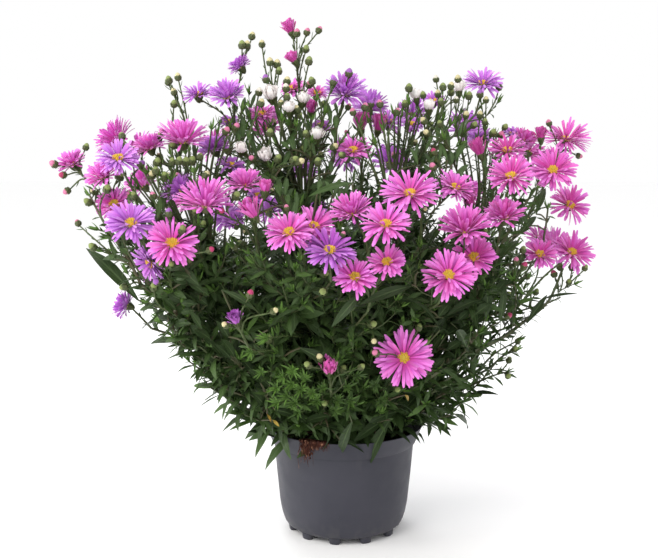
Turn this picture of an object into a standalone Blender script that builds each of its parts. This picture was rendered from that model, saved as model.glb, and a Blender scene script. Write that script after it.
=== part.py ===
# A potted New York aster: nursery pot, soil, leafy stems and trusses of pink, violet and white bloom.
# The frame has +X to the right, +Y away from the viewer and +Z up, with the pot's axis on the ground
# at the origin. Sizes are in millimetres until the last step, which writes the meshes in metres.
import math
import random

import bmesh
import bpy
from mathutils import Vector
from mathutils.bvhtree import BVHTree

METRES = 0.001
GAP = 0.3
UP = Vector((0.0, 0.0, 1.0))
GOLDEN_ANGLE = math.radians(137.5)

# The pot: a turned wall with a flared collar, standing on a ring of nubs.
RIM_RADIUS = 70.0
POT_HEIGHT = 95.5
COLLAR_BOTTOM = 80.2
COLLAR_RADIUS = 62.7
WALL = 1.6
FLOOR_TOP = 6.1
POT_SIDES = 24
FOOT_COUNT = 11
FOOT_TURN = 0.97
FOOT_RADIUS = 43.5
FOOT_HEIGHT = 4.2
FOOT_WIDTH = 10.5
FOOT_DEPTH = 7.0
DRAIN_COUNT = 4
DRAIN_RADIUS = 4.5
DRAIN_RING = 24.0
SMOOTH_ANGLE = math.radians(35)
OUTER_PROFILE = ((47.0, 4.0), (50.9, 6.2), (53.2, 10.0), (55.5, 17.0), (57.0, 26.0), (62.1, 79.5),
                 (COLLAR_RADIUS, COLLAR_BOTTOM), (RIM_RADIUS, POT_HEIGHT))
INNER_PROFILE = ((RIM_RADIUS - WALL, POT_HEIGHT), (60.9, 78.5), (54.8, 18.5), (45.4, FLOOR_TOP))

# The soil fills the pot to just under the rim. Each stem stands in a plain hole in it.
SOIL_TOP = 85.5
SOIL_SIDES = 18
HOLE_DEPTH = 22.0
HOLE_CLEARANCE = 1.0
FOOT_GAP = 0.35

# The crown's outer surface: at each height its half width across and its half depth.
CROWN = ((98, 72, 74), (117, 98, 92), (162, 135, 126), (207, 170, 152), (251, 200, 166), (294, 212, 158),
         (320, 210, 122), (337, 204, 96), (358, 180, 78), (379, 140, 62), (412, 78, 42), (445, 20, 20))
CROWN_SHEAR = 0.30

# Leafy stems: an inner ring that stands steep and an outer ring that leans out. Each ring has its
# radius in the soil, the turn of its first stem, and the height and crown scale of the stems' ends.
INNER_STEMS = 4
INNER_RING = (11.0, 0.55, 330.0, 0.34)
OUTER_STEMS = 9
OUTER_RING = (30.0, 0.28, 246.0, 0.66)
STEM_NECK = 6.0
STEM_STEPS = 5
STEM_RADIUS = 2.3
STEM_TAPER = 0.62
BRANCH_RADIUS = 1.15
BRANCH_TRIES = 30
STALK_RADIUS = 0.85
STALK_SIDES = 3

# Leaves: they stand in a spiral and get shorter up the stem. A long leaf gets a keel under its midrib.
LEAF_SPACING = 17.0
LEAF_LENGTH = 50.0
BRANCH_LEAF_LENGTH = 22.0
LONG_LEAF = 34.0
LEAF_WIDTH = 9.0
BRANCH_LEAF_WIDTH = 2.6
BLADE_DEPTH = 0.9
LEAF_TRIES = 5
LEAF_TRY_TURN = 1.3

# Blooms: a disc on a green cup, with petals in two layers. The cup's foot lies under the disc's middle.
DISC_RADIUS = 4.6
DISC_BAND = 2.0
DISC_RISE = 1.2
DISC_CREST = 2.8
CUP_DEPTH = 7.5
STALK_INSET = 2.5
LARGE_BLOOM = 16.0
BUD_RADIUS = 2.8
BUD_PLACE = 0.72
BUD_TRIES = 8
BUD_TRY_TURN = 0.8
BACK_TRUSSES = 9
BACK_SCALE = 1.04
BACK_TOP = 382.0
BACK_FALL = 56.0

PINK = (0.80, 0.16, 0.55, 1.0)
VIOLET = (0.36, 0.13, 0.62, 1.0)
WHITE = (0.85, 0.80, 0.78, 1.0)
LEAF_GREEN = (0.055, 0.10, 0.035, 1.0)
PLANT_COLOURS = {"leaf_green": LEAF_GREEN, "pink_petals": PINK, "violet_petals": VIOLET,
                 "white_petals": WHITE}
POT_GREY = (0.075, 0.078, 0.095, 1.0)
SOIL_BROWN = (0.035, 0.018, 0.010, 1.0)

# The viewpoint of the reference picture, 658 by 558 pixels, which places the blooms that it shows.
EYE = Vector((0.0, -900.0, 353.5))
EYE_PITCH = 0.144
EYE_YAW = -0.0147
FOCAL_PIXELS = 1044.0
PICTURE_MIDDLE = (329.0, 279.0)

# Forms of bloom: the lift in degrees of the upper and the lower petals above the disc's plane.
OPEN = (26.0, 6.0)
DOME = (50.0, 18.0)
HALF = (74.0, None)

# The blooms in the picture, by truss. Each row: the pixel of the disc, the width in pixels, the form,
# how far it faces away from the viewer in degrees, the way it leans in the picture (0 right, 90 up),
# and how far it is set back behind the crown's front surface in millimetres.
PINK_BLOOMS = (
    ((291, 31, 16, HALF, 75, 115, 0), (294, 60, 11, HALF, 70, 125, 5)),
    ((293, 88, 24, OPEN, 60, 100, 60), (317, 93, 20, OPEN, 62, 80, 55), (311, 111, 15, HALF, 60, 90, 45)),
    ((262, 114, 30, OPEN, 58, 100, 40),),
    ((183, 141, 48, DOME, 78, 92, 0), (150, 147, 30, DOME, 74, 110, 18)),
    ((72, 163, 28, DOME, 66, 120, 0), (103, 176, 32, DOME, 60, 120, 0), (114, 204, 36, OPEN, 40, 110, 34)),
    ((205, 204, 55, DOME, 70, 95, 0), (245, 184, 34, DOME, 70, 95, 14), (265, 190, 12, HALF, 75, 85, 0),
     (254, 215, 26, HALF, 60, 120, -8)),
    ((172, 243, 51, OPEN, 38, 80, 0),),
    ((289, 232, 48, OPEN, 50, 100, 0), (314, 226, 44, OPEN, 52, 70, 22)),
    ((353, 150, 36, OPEN, 55, 90, 25), (361, 128, 22, HALF, 70, 90, 40), (378, 129, 22, HALF, 70, 80, 50)),
    ((507, 150, 38, OPEN, 62, 95, 0), (524, 140, 26, DOME, 80, 60, 30), (480, 153, 21, HALF, 68, 110, -6),
     (511, 176, 46, OPEN, 48, 95, -22)),
    ((566, 139, 48, OPEN, 62, 78, 0), (553, 170, 45, OPEN, 36, 90, -20), (541, 137, 14, HALF, 75, 90, 2),
     (570, 205, 40, OPEN, 46, 50, 0)),
    ((410, 193, 56, OPEN, 52, 92, 0), (455, 187, 40, OPEN, 60, 70, 18)),
    ((504, 217, 38, DOME, 66, 95, 0), (470, 203, 15, HALF, 76, 100, 40)),
    ((352, 212, 40, DOME, 62, 100, 14), (386, 224, 50, OPEN, 48, 92, -12)),
    ((465, 230, 48, DOME, 56, 95, 0), (474, 257, 44, OPEN, 38, 90, 6)),
    ((387, 262, 37, OPEN, 46, 100, 4), (355, 277, 42, OPEN, 46, 90, -4)),
    ((449, 275, 53, OPEN, 34, 80, -10),),
    ((540, 254, 34, OPEN, 48, 70, 0), (572, 252, 43, OPEN, 45, 60, 0)),
    ((404, 358, 56, OPEN, 12, 90, 0),),
    ((329, 370, 18, HALF, 35, 90, 0),),
)
VIOLET_BLOOMS = (
    ((240, 66, 22, DOME, 78, 125, 10), (227, 96, 34, DOME, 60, 100, 0), (198, 94, 32, OPEN, 74, 100, 10)),
    ((229, 122, 22, OPEN, 70, 100, 55), (214, 148, 30, DOME, 72, 105, 40), (231, 165, 28, OPEN, 70, 80, 45)),
    ((118, 158, 42, OPEN, 52, 95, -22),),
    ((180, 190, 34, DOME, 78, 125, 30),),
    ((258, 196, 24, OPEN, 66, 90, 40), (234, 221, 22, DOME, 66, 110, 40)),
    ((131, 223, 50, OPEN, 48, 95, -4), (150, 263, 40, OPEN, 64, 215, 22)),
    ((330, 250, 52, OPEN, 52, 85, -4),),
    ((345, 93, 40, DOME, 52, 90, 10), (321, 126, 18, OPEN, 60, 90, 45)),
    ((388, 122, 32, OPEN, 62, 100, 60), (412, 124, 24, OPEN, 62, 80, 70), (433, 101, 24, OPEN, 60, 90, 60)),
    ((483, 83, 38, OPEN, 62, 88, 10),),
    ((480, 138, 28, OPEN, 72, 100, 55), (513, 134, 24, OPEN, 76, 80, 70)),
    ((126, 305, 28, DOME, 84, 160, 0),),
    ((236, 321, 15, HALF, 50, 110, 0),),
)
WHITE_BLOOMS = (
    ((271, 97, 18, HALF, 55, 100, 5), (289, 110, 12, HALF, 60, 95, 5), (303, 101, 11, HALF, 65, 80, 10)),
    ((266, 158, 17, HALF, 42, 100, 20), (241, 150, 11, HALF, 45, 90, 15), (317, 137, 14, HALF, 60, 90, 20)),
    ((459, 90, 14, HALF, 75, 90, 10), (429, 108, 11, HALF, 70, 90, 10), (416, 97, 10, HALF, 75, 100, 15)),
)


def interpolate(rows, key, column):
    """Read one column of a table of rows at a key, which the first column holds in rising order."""
    if key <= rows[0][0]:
        return rows[0][column]
    for low, high in zip(rows, rows[1:]):
        if key <= high[0]:
            share = (key - low[0]) / (high[0] - low[0])
            return low[column] + share * (high[column] - low[column])
    return rows[-1][column]


def bezier(start, handle, end, share):
    """Give the point of a quadratic curve."""
    return start * (1 - share) ** 2 + handle * (2 * share * (1 - share)) + end * share ** 2


def bezier_points(start, handle, end, steps):
    """Give evenly shared points of a quadratic curve, both ends included."""
    return [bezier(start, handle, end, step / steps) for step in range(steps + 1)]


def point_along(route, distance):
    """Give the point and direction at a distance along a route, or None past its end."""
    for start, end in zip(route, route[1:]):
        length = (end - start).length
        if distance <= length:
            return start.lerp(end, distance / length), (end - start).normalized()
        distance -= length
    return None


def view_axes():
    """Give the viewpoint's right, up and forward directions."""
    forward = Vector((math.sin(EYE_YAW) * math.cos(EYE_PITCH), math.cos(EYE_YAW) * math.cos(EYE_PITCH),
                      -math.sin(EYE_PITCH)))
    right = Vector((math.cos(EYE_YAW), -math.sin(EYE_YAW), 0.0))
    return right, right.cross(forward), forward


def crown_ratio(point):
    """Tell how far out a point lies: 1 on the crown's surface, less inside it."""
    width = interpolate(CROWN, point.z, 1)
    depth = interpolate(CROWN, point.z, 2)
    return math.hypot(point.x / width, (point.y - CROWN_SHEAR * point.x) / depth)


def crown_point(azimuth, height, scale):
    """Give the point at a scale of the crown's surface, at an azimuth in radians and a height."""
    x = scale * interpolate(CROWN, height, 1) * math.cos(azimuth)
    y = scale * interpolate(CROWN, height, 2) * math.sin(azimuth) + CROWN_SHEAR * x
    return Vector((x, y, height))


def place_by_sight(pixel_x, pixel_y, set_back):
    """Place a pixel on the crown: where its line of sight enters it, or passes nearest to it."""
    right, up, forward = view_axes()
    sight = forward + right * ((pixel_x - PICTURE_MIDDLE[0]) / FOCAL_PIXELS)
    sight = sight - up * ((pixel_y - PICTURE_MIDDLE[1]) / FOCAL_PIXELS)
    nearest = None
    for step in range(200):
        point = EYE + sight * (640.0 + 2.0 * step)
        ratio = crown_ratio(point)
        if ratio <= 1.0:
            nearest = (ratio, point)
            break
        if nearest is None or ratio < nearest[0]:
            nearest = (ratio, point)
    return nearest[1] + sight * set_back


class Bloom:
    """One bloom: its disc's middle, the way it faces, its reach and its form."""

    def __init__(self, middle, facing, reach, form, petals):
        self.middle = middle
        self.facing = facing.normalized()
        self.reach = reach
        self.form = form
        self.petals = petals
        self.base = middle - self.facing * (CUP_DEPTH - STALK_INSET)


def bloom_in_picture(row):
    """Turn a row of the picture's blooms into a bloom in space."""
    pixel_x, pixel_y, width, form, away, lean, set_back = row
    right, up, forward = view_axes()
    middle = place_by_sight(pixel_x, pixel_y, set_back)
    distance = (middle - EYE).dot(forward)
    reach = 0.5 * width * distance / FOCAL_PIXELS
    if form is HALF:
        reach = max(reach * 1.5, 7.5)
    away = math.radians(away)
    lean = math.radians(lean)
    sideways = right * math.cos(lean) + up * math.sin(lean)
    facing = (EYE - middle).normalized() * math.cos(away) + sideways * math.sin(away)
    petals = 7 if reach > LARGE_BLOOM else 5
    return Bloom(middle, facing, reach, form, petals)


def back_blooms():
    """Place the trusses on the far side, which the picture doesn't show, by a seeded rule."""
    draw = random.Random(41)
    trusses = []
    for number in range(BACK_TRUSSES):
        share = (number + 0.5) / BACK_TRUSSES
        azimuth = math.radians(21 + 145 * ((number * 0.618) % 1.0))
        height = min(235 + 160 * share, BACK_TOP - BACK_FALL * abs(math.cos(azimuth)))
        blooms = []
        for member in range(3 if number % 3 == 1 else 2):
            turned = azimuth + (member - 1) * 42.0 / interpolate(CROWN, height, 1)
            middle = crown_point(turned, height + draw.uniform(-14, 14), BACK_SCALE)
            outward = Vector((middle.x, middle.y, 0.0)).normalized()
            facing = outward + UP * draw.uniform(0.7, 1.3)
            form = DOME if draw.random() < 0.4 else OPEN
            blooms.append(Bloom(middle, facing, draw.uniform(14.5, 18.5), form, 5))
        trusses.append(("violet" if number % 3 == 1 else "pink", blooms))
    return trusses


class Shape:
    """A closed mesh under construction."""

    def __init__(self):
        self.points = []
        self.faces = []

    def add(self, point):
        self.points.append(Vector(point))
        return len(self.points) - 1

    def ring(self, points):
        return [self.add(point) for point in points]

    def bridge(self, lower, upper):
        """Join two rings of equal count with triangles, seen counter-clockwise from outside."""
        count = len(lower)
        for step in range(count):
            after = (step + 1) % count
            self.faces.append((lower[step], lower[after], upper[after]))
            self.faces.append((lower[step], upper[after], upper[step]))

    def fan(self, ring, tip):
        """Close a ring with triangles to a tip above it."""
        for step, corner in enumerate(ring):
            self.faces.append((corner, ring[(step + 1) % len(ring)], tip))


def across(direction):
    """Give two directions square to a direction and to each other."""
    other = UP if abs(direction.z) < 0.9 else Vector((1.0, 0.0, 0.0))
    first = other.cross(direction).normalized()
    return first, direction.cross(first).normalized()


def circle(middle, direction, radius, sides, turn=0.0, start=None):
    """Give points round a middle, counter-clockwise as seen against the direction."""
    first, second = across(direction)
    if start is not None:
        first = (start - direction * start.dot(direction)).normalized()
        second = direction.cross(first)
    points = []
    for step in range(sides):
        angle = turn + 2 * math.pi * step / sides
        points.append(middle + (first * math.cos(angle) + second * math.sin(angle)) * radius)
    return points


def directions_along(route):
    """Give the direction of a route at each of its points."""
    directions = []
    for number in range(len(route)):
        before = route[max(number - 1, 0)]
        after = route[min(number + 1, len(route) - 1)]
        directions.append((after - before).normalized())
    return directions


def tube(route, start_radius, end_radius, sides=STALK_SIDES, end_direction=None):
    """Make a closed tapering tube along a route, with flat ends."""
    shape = Shape()
    rings = []
    directions = directions_along(route)
    directions[-1] = end_direction or directions[-1]
    start = across(directions[0])[0]
    for number, direction in enumerate(directions):
        share = number / (len(route) - 1)
        radius = start_radius + share * (end_radius - start_radius)
        rings.append(shape.ring(circle(route[number], direction, radius, sides, 0.0, start)))
    for low, high in zip(rings, rings[1:]):
        shape.bridge(low, high)
    shape.faces.append(tuple(rings[-1]))
    shape.faces.append(tuple(reversed(rings[0])))
    return shape


def blade(root, direction, side, length, width, droop):
    """Make a leaf: a lance-shaped blade from a root point to a tip, folded along its midrib."""
    shape = Shape()
    below = side.cross(direction).normalized()
    if below.z > 0:
        below = below * -1.0
        side = side * -1.0
    start = shape.add(root)
    middle = root + direction * (0.42 * length) - UP * (0.18 * droop)
    end = root + direction * length - UP * droop
    half = side * (0.5 * width)
    tip = shape.add(end)
    if length < LONG_LEAF:
        rise = below * -BLADE_DEPTH
        middle = root.lerp(end, 0.42)
        left, right = shape.ring((middle - half + rise, middle + half + rise))
        shape.faces += [(start, left, right), (right, left, tip), (start, tip, left), (start, right, tip)]
        return shape
    left, keel, right = shape.ring((middle - half, middle + below * BLADE_DEPTH, middle + half))
    shape.faces += [(start, keel, left), (start, right, keel), (start, left, right),
                    (left, keel, tip), (keel, right, tip), (right, left, tip)]
    return shape


def bud(root, middle, direction, radius):
    """Make a bud on its stalk: a thin tube that widens to a pointed bud."""
    shape = Shape()
    stalk = (middle - direction * radius - root).normalized()
    start = across(direction)[0]
    foot = shape.ring(circle(root, stalk, 0.3, STALK_SIDES, 0.0, start))
    neck = shape.ring(circle(middle - direction * radius * 1.3, direction, 0.6, STALK_SIDES, 0.0, start))
    belly = shape.ring(circle(middle, direction, radius, STALK_SIDES, 0.0, start))
    tip = shape.add(middle + direction * radius * 1.5)
    shape.faces.append(tuple(reversed(foot)))
    shape.bridge(foot, neck)
    shape.bridge(neck, belly)
    shape.fan(belly, tip)
    return shape


def petal(shape, near, keel, far, direction, length, width):
    """Grow a petal from one triangle of a bloom's band: strap-shaped, or a plain point with no width."""
    start = (shape.points[near] + shape.points[far]) * 0.5
    tip = shape.add(start + direction * length)
    if width == 0.0:
        shape.faces += [(near, keel, tip), (keel, far, tip), (far, near, tip)]
        return
    side = (shape.points[far] - shape.points[near]).normalized()
    half = side * (0.5 * width)
    widest = start + direction * (length * 0.62)
    near_edge = shape.add(widest - half)
    far_edge = shape.add(widest + half)
    shape.faces += [(far, near, near_edge), (far, near_edge, far_edge), (far_edge, near_edge, tip),
                    (near, keel, near_edge), (near_edge, keel, tip), (keel, far, far_edge),
                    (keel, far_edge, tip)]


def bloom_shape(bloom, draw):
    """Make a bloom: a domed disc on a cup, with an upper and a lower layer of petals."""
    shape = Shape()
    cupped = bloom.form is HALF
    count = 5 if cupped else bloom.petals
    disc = DISC_RADIUS * (0.62 if cupped else 1.0)
    outer = disc * (1.35 if cupped else 1.0)
    top = bloom.middle + bloom.facing * DISC_RISE
    upper = shape.ring(circle(top, bloom.facing, disc, count))
    lower = shape.ring(circle(top - bloom.facing * DISC_BAND, bloom.facing, outer, count, math.pi / count))
    crest = shape.add(bloom.middle + bloom.facing * DISC_CREST)
    foot = shape.add(bloom.middle - bloom.facing * CUP_DEPTH)
    shape.fan(upper, crest)
    width = 2.0 * math.pi * bloom.reach * 0.66 / (2.3 * count)
    first, second = across(bloom.facing)
    for step in range(count):
        after = (step + 1) % count
        shape.faces.append((foot, lower[after], lower[step]))
        for layer, lift in enumerate(bloom.form):
            if lift is None:
                shape.faces.append((upper[after], lower[step], lower[after]))
                continue
            angle = 2 * math.pi * (step + 0.5 + 0.5 * layer) / count
            outward = first * math.cos(angle) + second * math.sin(angle)
            rise = math.radians(lift + draw.uniform(-4, 4))
            direction = outward * math.cos(rise) + bloom.facing * math.sin(rise)
            length = (bloom.reach - disc) / max(math.cos(rise), 0.72) * draw.uniform(0.94, 1.04)
            if cupped:
                petal(shape, upper[step], lower[step], upper[after], direction, bloom.reach, disc * 0.9)
            elif layer == 0:
                petal(shape, upper[step], lower[step], upper[after], direction, length, width)
            else:
                petal(shape, lower[after], upper[after], lower[step], direction, length, 0.0)
    return shape


class Space:
    """What has been placed so far, to keep the shapes of different nodes apart."""

    def __init__(self):
        self.items = []

    def measure(self, shape):
        middle = sum(shape.points, Vector()) / len(shape.points)
        reach = max((point - middle).length for point in shape.points)
        return middle, reach, BVHTree.FromPolygons(shape.points, shape.faces)

    def blockers(self, owner, shape, margin=GAP):
        """List the owners whose shapes a new shape would touch."""
        middle, reach, tree = self.measure(shape)
        found = []
        for other, points, other_middle, other_reach, other_tree in self.items:
            if other == owner or other in found:
                continue
            if (middle - other_middle).length > reach + other_reach + margin:
                continue
            close = tree.overlap(other_tree)
            close = close or any(other_tree.find_nearest(point, margin)[0] for point in shape.points)
            close = close or any(tree.find_nearest(point, margin)[0] for point in points)
            if close:
                found.append(other)
        return found

    def add(self, owner, shape):
        middle, reach, tree = self.measure(shape)
        self.items.append((owner, shape.points, middle, reach, tree))


class Node:
    """A named solid: the shapes that are fused in it."""

    def __init__(self, name, colour):
        self.name = name
        self.colour = colour
        self.shapes = []


def make_material(name, colour, roughness):
    """Make a plain surface of one colour."""
    material = bpy.data.materials.new(name)
    material.use_nodes = True
    shader = material.node_tree.nodes["Principled BSDF"]
    shader.inputs["Base Color"].default_value = colour
    shader.inputs["Roughness"].default_value = roughness
    shader.inputs["Metallic"].default_value = 0.0
    return material


def make_object(name, shape, collection):
    """Write a shape as an object, in metres."""
    mesh = bpy.data.meshes.new(name)
    mesh.from_pydata([point * METRES for point in shape.points], [], shape.faces)
    mesh.validate()
    item = bpy.data.objects.new(name, mesh)
    collection.objects.link(item)
    return item


def apply_modifiers(item):
    """Replace an object's mesh by what its modifiers make of it."""
    evaluated = item.evaluated_get(bpy.context.evaluated_depsgraph_get())
    mesh = bpy.data.meshes.new_from_object(evaluated)
    item.modifiers.clear()
    item.data = mesh


def keep_largest_body(item):
    """Drop the loose scraps and the sealed hollows that a union can leave."""
    work = bmesh.new()
    work.from_mesh(item.data)
    unseen = set(work.verts)
    islands = []
    while unseen:
        group = {unseen.pop()}
        edge = list(group)
        while edge:
            for link in edge.pop().link_edges:
                for vertex in link.verts:
                    if vertex in unseen:
                        unseen.discard(vertex)
                        group.add(vertex)
                        edge.append(vertex)
        islands.append(group)
    islands.sort(key=len)
    for group in islands[:-1]:
        bmesh.ops.delete(work, geom=list(group), context="VERTS")
    work.to_mesh(item.data)
    work.free()
    return len(islands) - 1


def join_repeats(node, material):
    """Fuse a node's shapes into one closed body by a Boolean union on a collection."""
    scene = bpy.context.scene.collection
    item = make_object(node.name, node.shapes[0], scene)
    repeats = bpy.data.collections.new(node.name + "_repeats")
    scene.children.link(repeats)
    for number, shape in enumerate(node.shapes[1:]):
        make_object("{}_{}".format(node.name, number), shape, repeats)
    union = item.modifiers.new("Union", "BOOLEAN")
    union.operation = "UNION"
    union.operand_type = "COLLECTION"
    union.collection = repeats
    union.solver = "MANIFOLD"
    apply_modifiers(item)
    for repeat in list(repeats.objects):
        bpy.data.objects.remove(repeat)
    bpy.data.collections.remove(repeats)
    dropped = keep_largest_body(item)
    item.data.materials.clear()
    item.data.materials.append(material)
    triangles = sum(len(face.vertices) - 2 for face in item.data.polygons)
    print(node.name, len(node.shapes), "shapes", triangles, "triangles", dropped, "dropped")
    return item


def turned_shape(profile, sides):
    """Turn a closed profile of (radius, height) points round the Z axis."""
    shape = Shape()
    rings = []
    for radius, height in profile:
        if radius == 0.0:
            rings.append([shape.add((0.0, 0.0, height))])
        else:
            rings.append(shape.ring(circle(Vector((0.0, 0.0, height)), UP, radius, sides)))
    for low, high in zip(rings, rings[1:]):
        if len(low) == 1:
            shape.faces += [(low[0], high[(step + 1) % sides], high[step]) for step in range(sides)]
        elif len(high) == 1:
            shape.fan(low, high[0])
        else:
            shape.bridge(low, high)
    return shape


def foot_shape(angle):
    """Make one nub under the pot: a block that tapers to its flat end."""
    outward = Vector((math.cos(angle), math.sin(angle), 0.0))
    side = Vector((-outward.y, outward.x, 0.0))
    shape = Shape()
    rings = []
    for height, scale in ((0.0, 0.8), (FOOT_HEIGHT + 1.0, 1.1)):
        middle = outward * FOOT_RADIUS + UP * height
        long_half = side * (0.5 * FOOT_WIDTH * scale)
        short_half = outward * (0.5 * FOOT_DEPTH * scale)
        corners = (middle + short_half - long_half * 0.6, middle + short_half + long_half * 0.6,
                   middle + long_half, middle - short_half + long_half * 0.6,
                   middle - short_half - long_half * 0.6, middle - long_half)
        rings.append(shape.ring(corners))
    for low, high in zip(rings, rings[1:]):
        shape.bridge(low, high)
    shape.faces.append(tuple(reversed(rings[0])))
    shape.faces.append(tuple(rings[-1]))
    return shape


def cut_holes(item, cutters):
    """Cut a collection of closed shapes out of an object."""
    scene = bpy.context.scene.collection
    holes = bpy.data.collections.new(item.name + "_holes")
    scene.children.link(holes)
    for number, shape in enumerate(cutters):
        make_object("{}_hole_{}".format(item.name, number), shape, holes)
    cut = item.modifiers.new("Holes", "BOOLEAN")
    cut.operation = "DIFFERENCE"
    cut.operand_type = "COLLECTION"
    cut.collection = holes
    cut.solver = "MANIFOLD"
    apply_modifiers(item)
    for hole in list(holes.objects):
        bpy.data.objects.remove(hole)
    bpy.data.collections.remove(holes)


def make_pot():
    """Make the pot: a turned wall and floor, nubs to stand on and drain holes."""
    node = Node("pot", POT_GREY)
    profile = ((0.0, OUTER_PROFILE[0][1]),) + OUTER_PROFILE + INNER_PROFILE + ((0.0, FLOOR_TOP),)
    node.shapes.append(turned_shape(profile, POT_SIDES))
    for number in range(FOOT_COUNT):
        angle = 2 * math.pi * (number + FOOT_TURN) / FOOT_COUNT
        node.shapes.append(foot_shape(angle))
    pot = join_repeats(node, make_material("grey_plastic", POT_GREY, 0.55))
    drains = []
    for number in range(DRAIN_COUNT):
        angle = 2 * math.pi * number / DRAIN_COUNT
        middle = Vector((math.cos(angle), math.sin(angle), 0.0)) * DRAIN_RING
        drains.append(tube([middle + UP * 4.0, middle + UP * 12.0], DRAIN_RADIUS, DRAIN_RADIUS, 6))
    cut_holes(pot, drains)
    pot.data.shade_smooth()
    pot.data.set_sharp_from_angle(angle=SMOOTH_ANGLE)
    return pot


def make_soil(stem_feet):
    """Make the soil: a fill that follows the pot's inside, with a plain hole for each stem."""
    profile = ((0.0, FLOOR_TOP + GAP), (44.2, FLOOR_TOP + GAP), (53.6, 18.5), (59.7, 78.5),
               (62.2, SOIL_TOP - 2.0), (0.0, SOIL_TOP))
    shape = turned_shape(profile, SOIL_SIDES)
    scene = bpy.context.scene.collection
    soil = make_object("soil", shape, scene)
    soil.data.materials.append(make_material("dark_peat", SOIL_BROWN, 0.95))
    holes = []
    for foot in stem_feet:
        low = Vector((foot.x, foot.y, SOIL_TOP - HOLE_DEPTH))
        high = Vector((foot.x, foot.y, SOIL_TOP + 8.0))
        holes.append(tube([low, high], STEM_RADIUS + HOLE_CLEARANCE, STEM_RADIUS + HOLE_CLEARANCE))
    cut_holes(soil, holes)
    return soil


class Stem:
    """A leafy stem: its course from the soil outward, and the trusses that it carries."""

    def __init__(self, number, azimuth, ring):
        radius, turn, tip_height, tip_scale = ring
        self.number = number
        self.node = Node("leafy_stem_{:02d}".format(number), LEAF_GREEN)
        out = Vector((math.cos(azimuth), math.sin(azimuth), 0.0))
        self.foot = out * radius + UP * (SOIL_TOP - HOLE_DEPTH + FOOT_GAP)
        neck = out * radius + UP * (SOIL_TOP + STEM_NECK)
        tip = crown_point(azimuth, tip_height, tip_scale)
        handle = neck.lerp(tip, 0.42) + UP * (0.16 * (tip - neck).length) - out * 6.0
        self.course = bezier_points(neck, handle, tip, STEM_STEPS)
        self.trusses = []
        self.carriers = []

    def place(self, share):
        """Give the point and direction at a share of the course."""
        step = min(int(share * STEM_STEPS), STEM_STEPS - 1)
        start = self.course[step]
        end = self.course[step + 1]
        return start.lerp(end, share * STEM_STEPS - step), (end - start).normalized()

    def route(self):
        """Give the stem's own route, from its foot to the place of its highest branch."""
        last = max([share for truss, share in self.trusses], default=1.0)
        points = [point for step, point in enumerate(self.course) if step < last * STEM_STEPS - 0.2]
        return [self.foot] + points + [self.place(last)[0]]


def plan_stems():
    """Set out the leafy stems: steep ones inside, leaning ones round them."""
    stems = []
    for count, ring in ((INNER_STEMS, INNER_RING), (OUTER_STEMS, OUTER_RING)):
        for number in range(count):
            azimuth = 2 * math.pi * (number + ring[1]) / count
            stems.append(Stem(len(stems) + 1, azimuth, ring))
    return stems


class Truss:
    """A forked stalk and its blooms: where it starts, which way, and what it carries."""

    def __init__(self, name, colour, blooms):
        self.node = Node(name, colour)
        self.blooms = blooms
        middle = sum((bloom.base for bloom in blooms), Vector()) / len(blooms)
        spread = max((bloom.base - middle).length for bloom in blooms)
        self.direction = (middle - Vector((0.0, 0.0, 70.0))).normalized()
        self.direction = (self.direction + UP * 0.35).normalized()
        self.start = middle - self.direction * (24.0 + 0.75 * spread)
        self.blooms.sort(key=lambda bloom: (bloom.base - self.start).angle(self.direction))

    def routes(self):
        """Give the route of each stalk: the first runs up the middle and the others fork from it."""
        found = []
        for number, bloom in enumerate(self.blooms):
            if number == 0:
                fork = self.start + self.direction * GAP
            else:
                fork = point_along(found[0], 3.0 + 3.5 * number)[0]
            handle = fork + self.direction * (0.5 * (bloom.base - fork).length)
            found.append(bezier_points(fork, handle, bloom.base + bloom.facing * 1.5, 2))
        return found


def plan_trusses():
    """Gather every truss, the ones in the picture first."""
    trusses = []
    counts = {"pink": 0, "violet": 0, "white": 0}
    colours = {"pink": PINK, "violet": VIOLET, "white": WHITE}
    groups = [("pink", [bloom_in_picture(row) for row in rows]) for rows in PINK_BLOOMS]
    groups += [("violet", [bloom_in_picture(row) for row in rows]) for rows in VIOLET_BLOOMS]
    groups += [("white", [bloom_in_picture(row) for row in rows]) for rows in WHITE_BLOOMS]
    groups += back_blooms()
    for colour, blooms in groups:
        counts[colour] += 1
        name = "{}_truss_{:02d}".format(colour, counts[colour])
        trusses.append(Truss(name, colours[colour], blooms))
    return trusses


def fill_truss(truss, space, draw):
    """Shape a truss's blooms and stalks, and set them in space."""
    shapes = []
    for number, route in enumerate(truss.routes()):
        radius = STALK_RADIUS * (1.25 if number == 0 else 0.6)
        shapes.append(tube(route, radius, STALK_RADIUS * 0.85))
    for bloom in truss.blooms:
        shapes.append(bloom_shape(bloom, draw))
    for shape in shapes:
        blockers = space.blockers(truss.node.name, shape)
        if blockers:
            print(truss.node.name, "meets", blockers)
    for shape in shapes:
        space.add(truss.node.name, shape)
    truss.node.shapes = shapes


def attach_share(stem, truss):
    """Find the share of a stem's course from which a branch rises most easily to a truss, and its cost."""
    best = None
    for step in range(20, 1, -1):
        share = step / 20.0
        start, direction = stem.place(share)
        reach = truss.start - start
        slant = reach.angle(direction)
        cost = reach.length * (1.0 + 2.0 * max(slant - 0.75, 0.0))
        if best is None or cost < best[0]:
            best = (cost, share)
    return best


def give_trusses(stems, trusses):
    """Give each truss to the stem with the easiest branch to it."""
    for truss in trusses:
        choices = []
        for stem in stems:
            cost, share = attach_share(stem, truss)
            choices.append((cost + 12.0 * len(stem.trusses), share, stem.number, stem))
        choices.sort(key=lambda choice: choice[:3])
        choices[0][3].trusses.append((truss, choices[0][1]))


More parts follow.
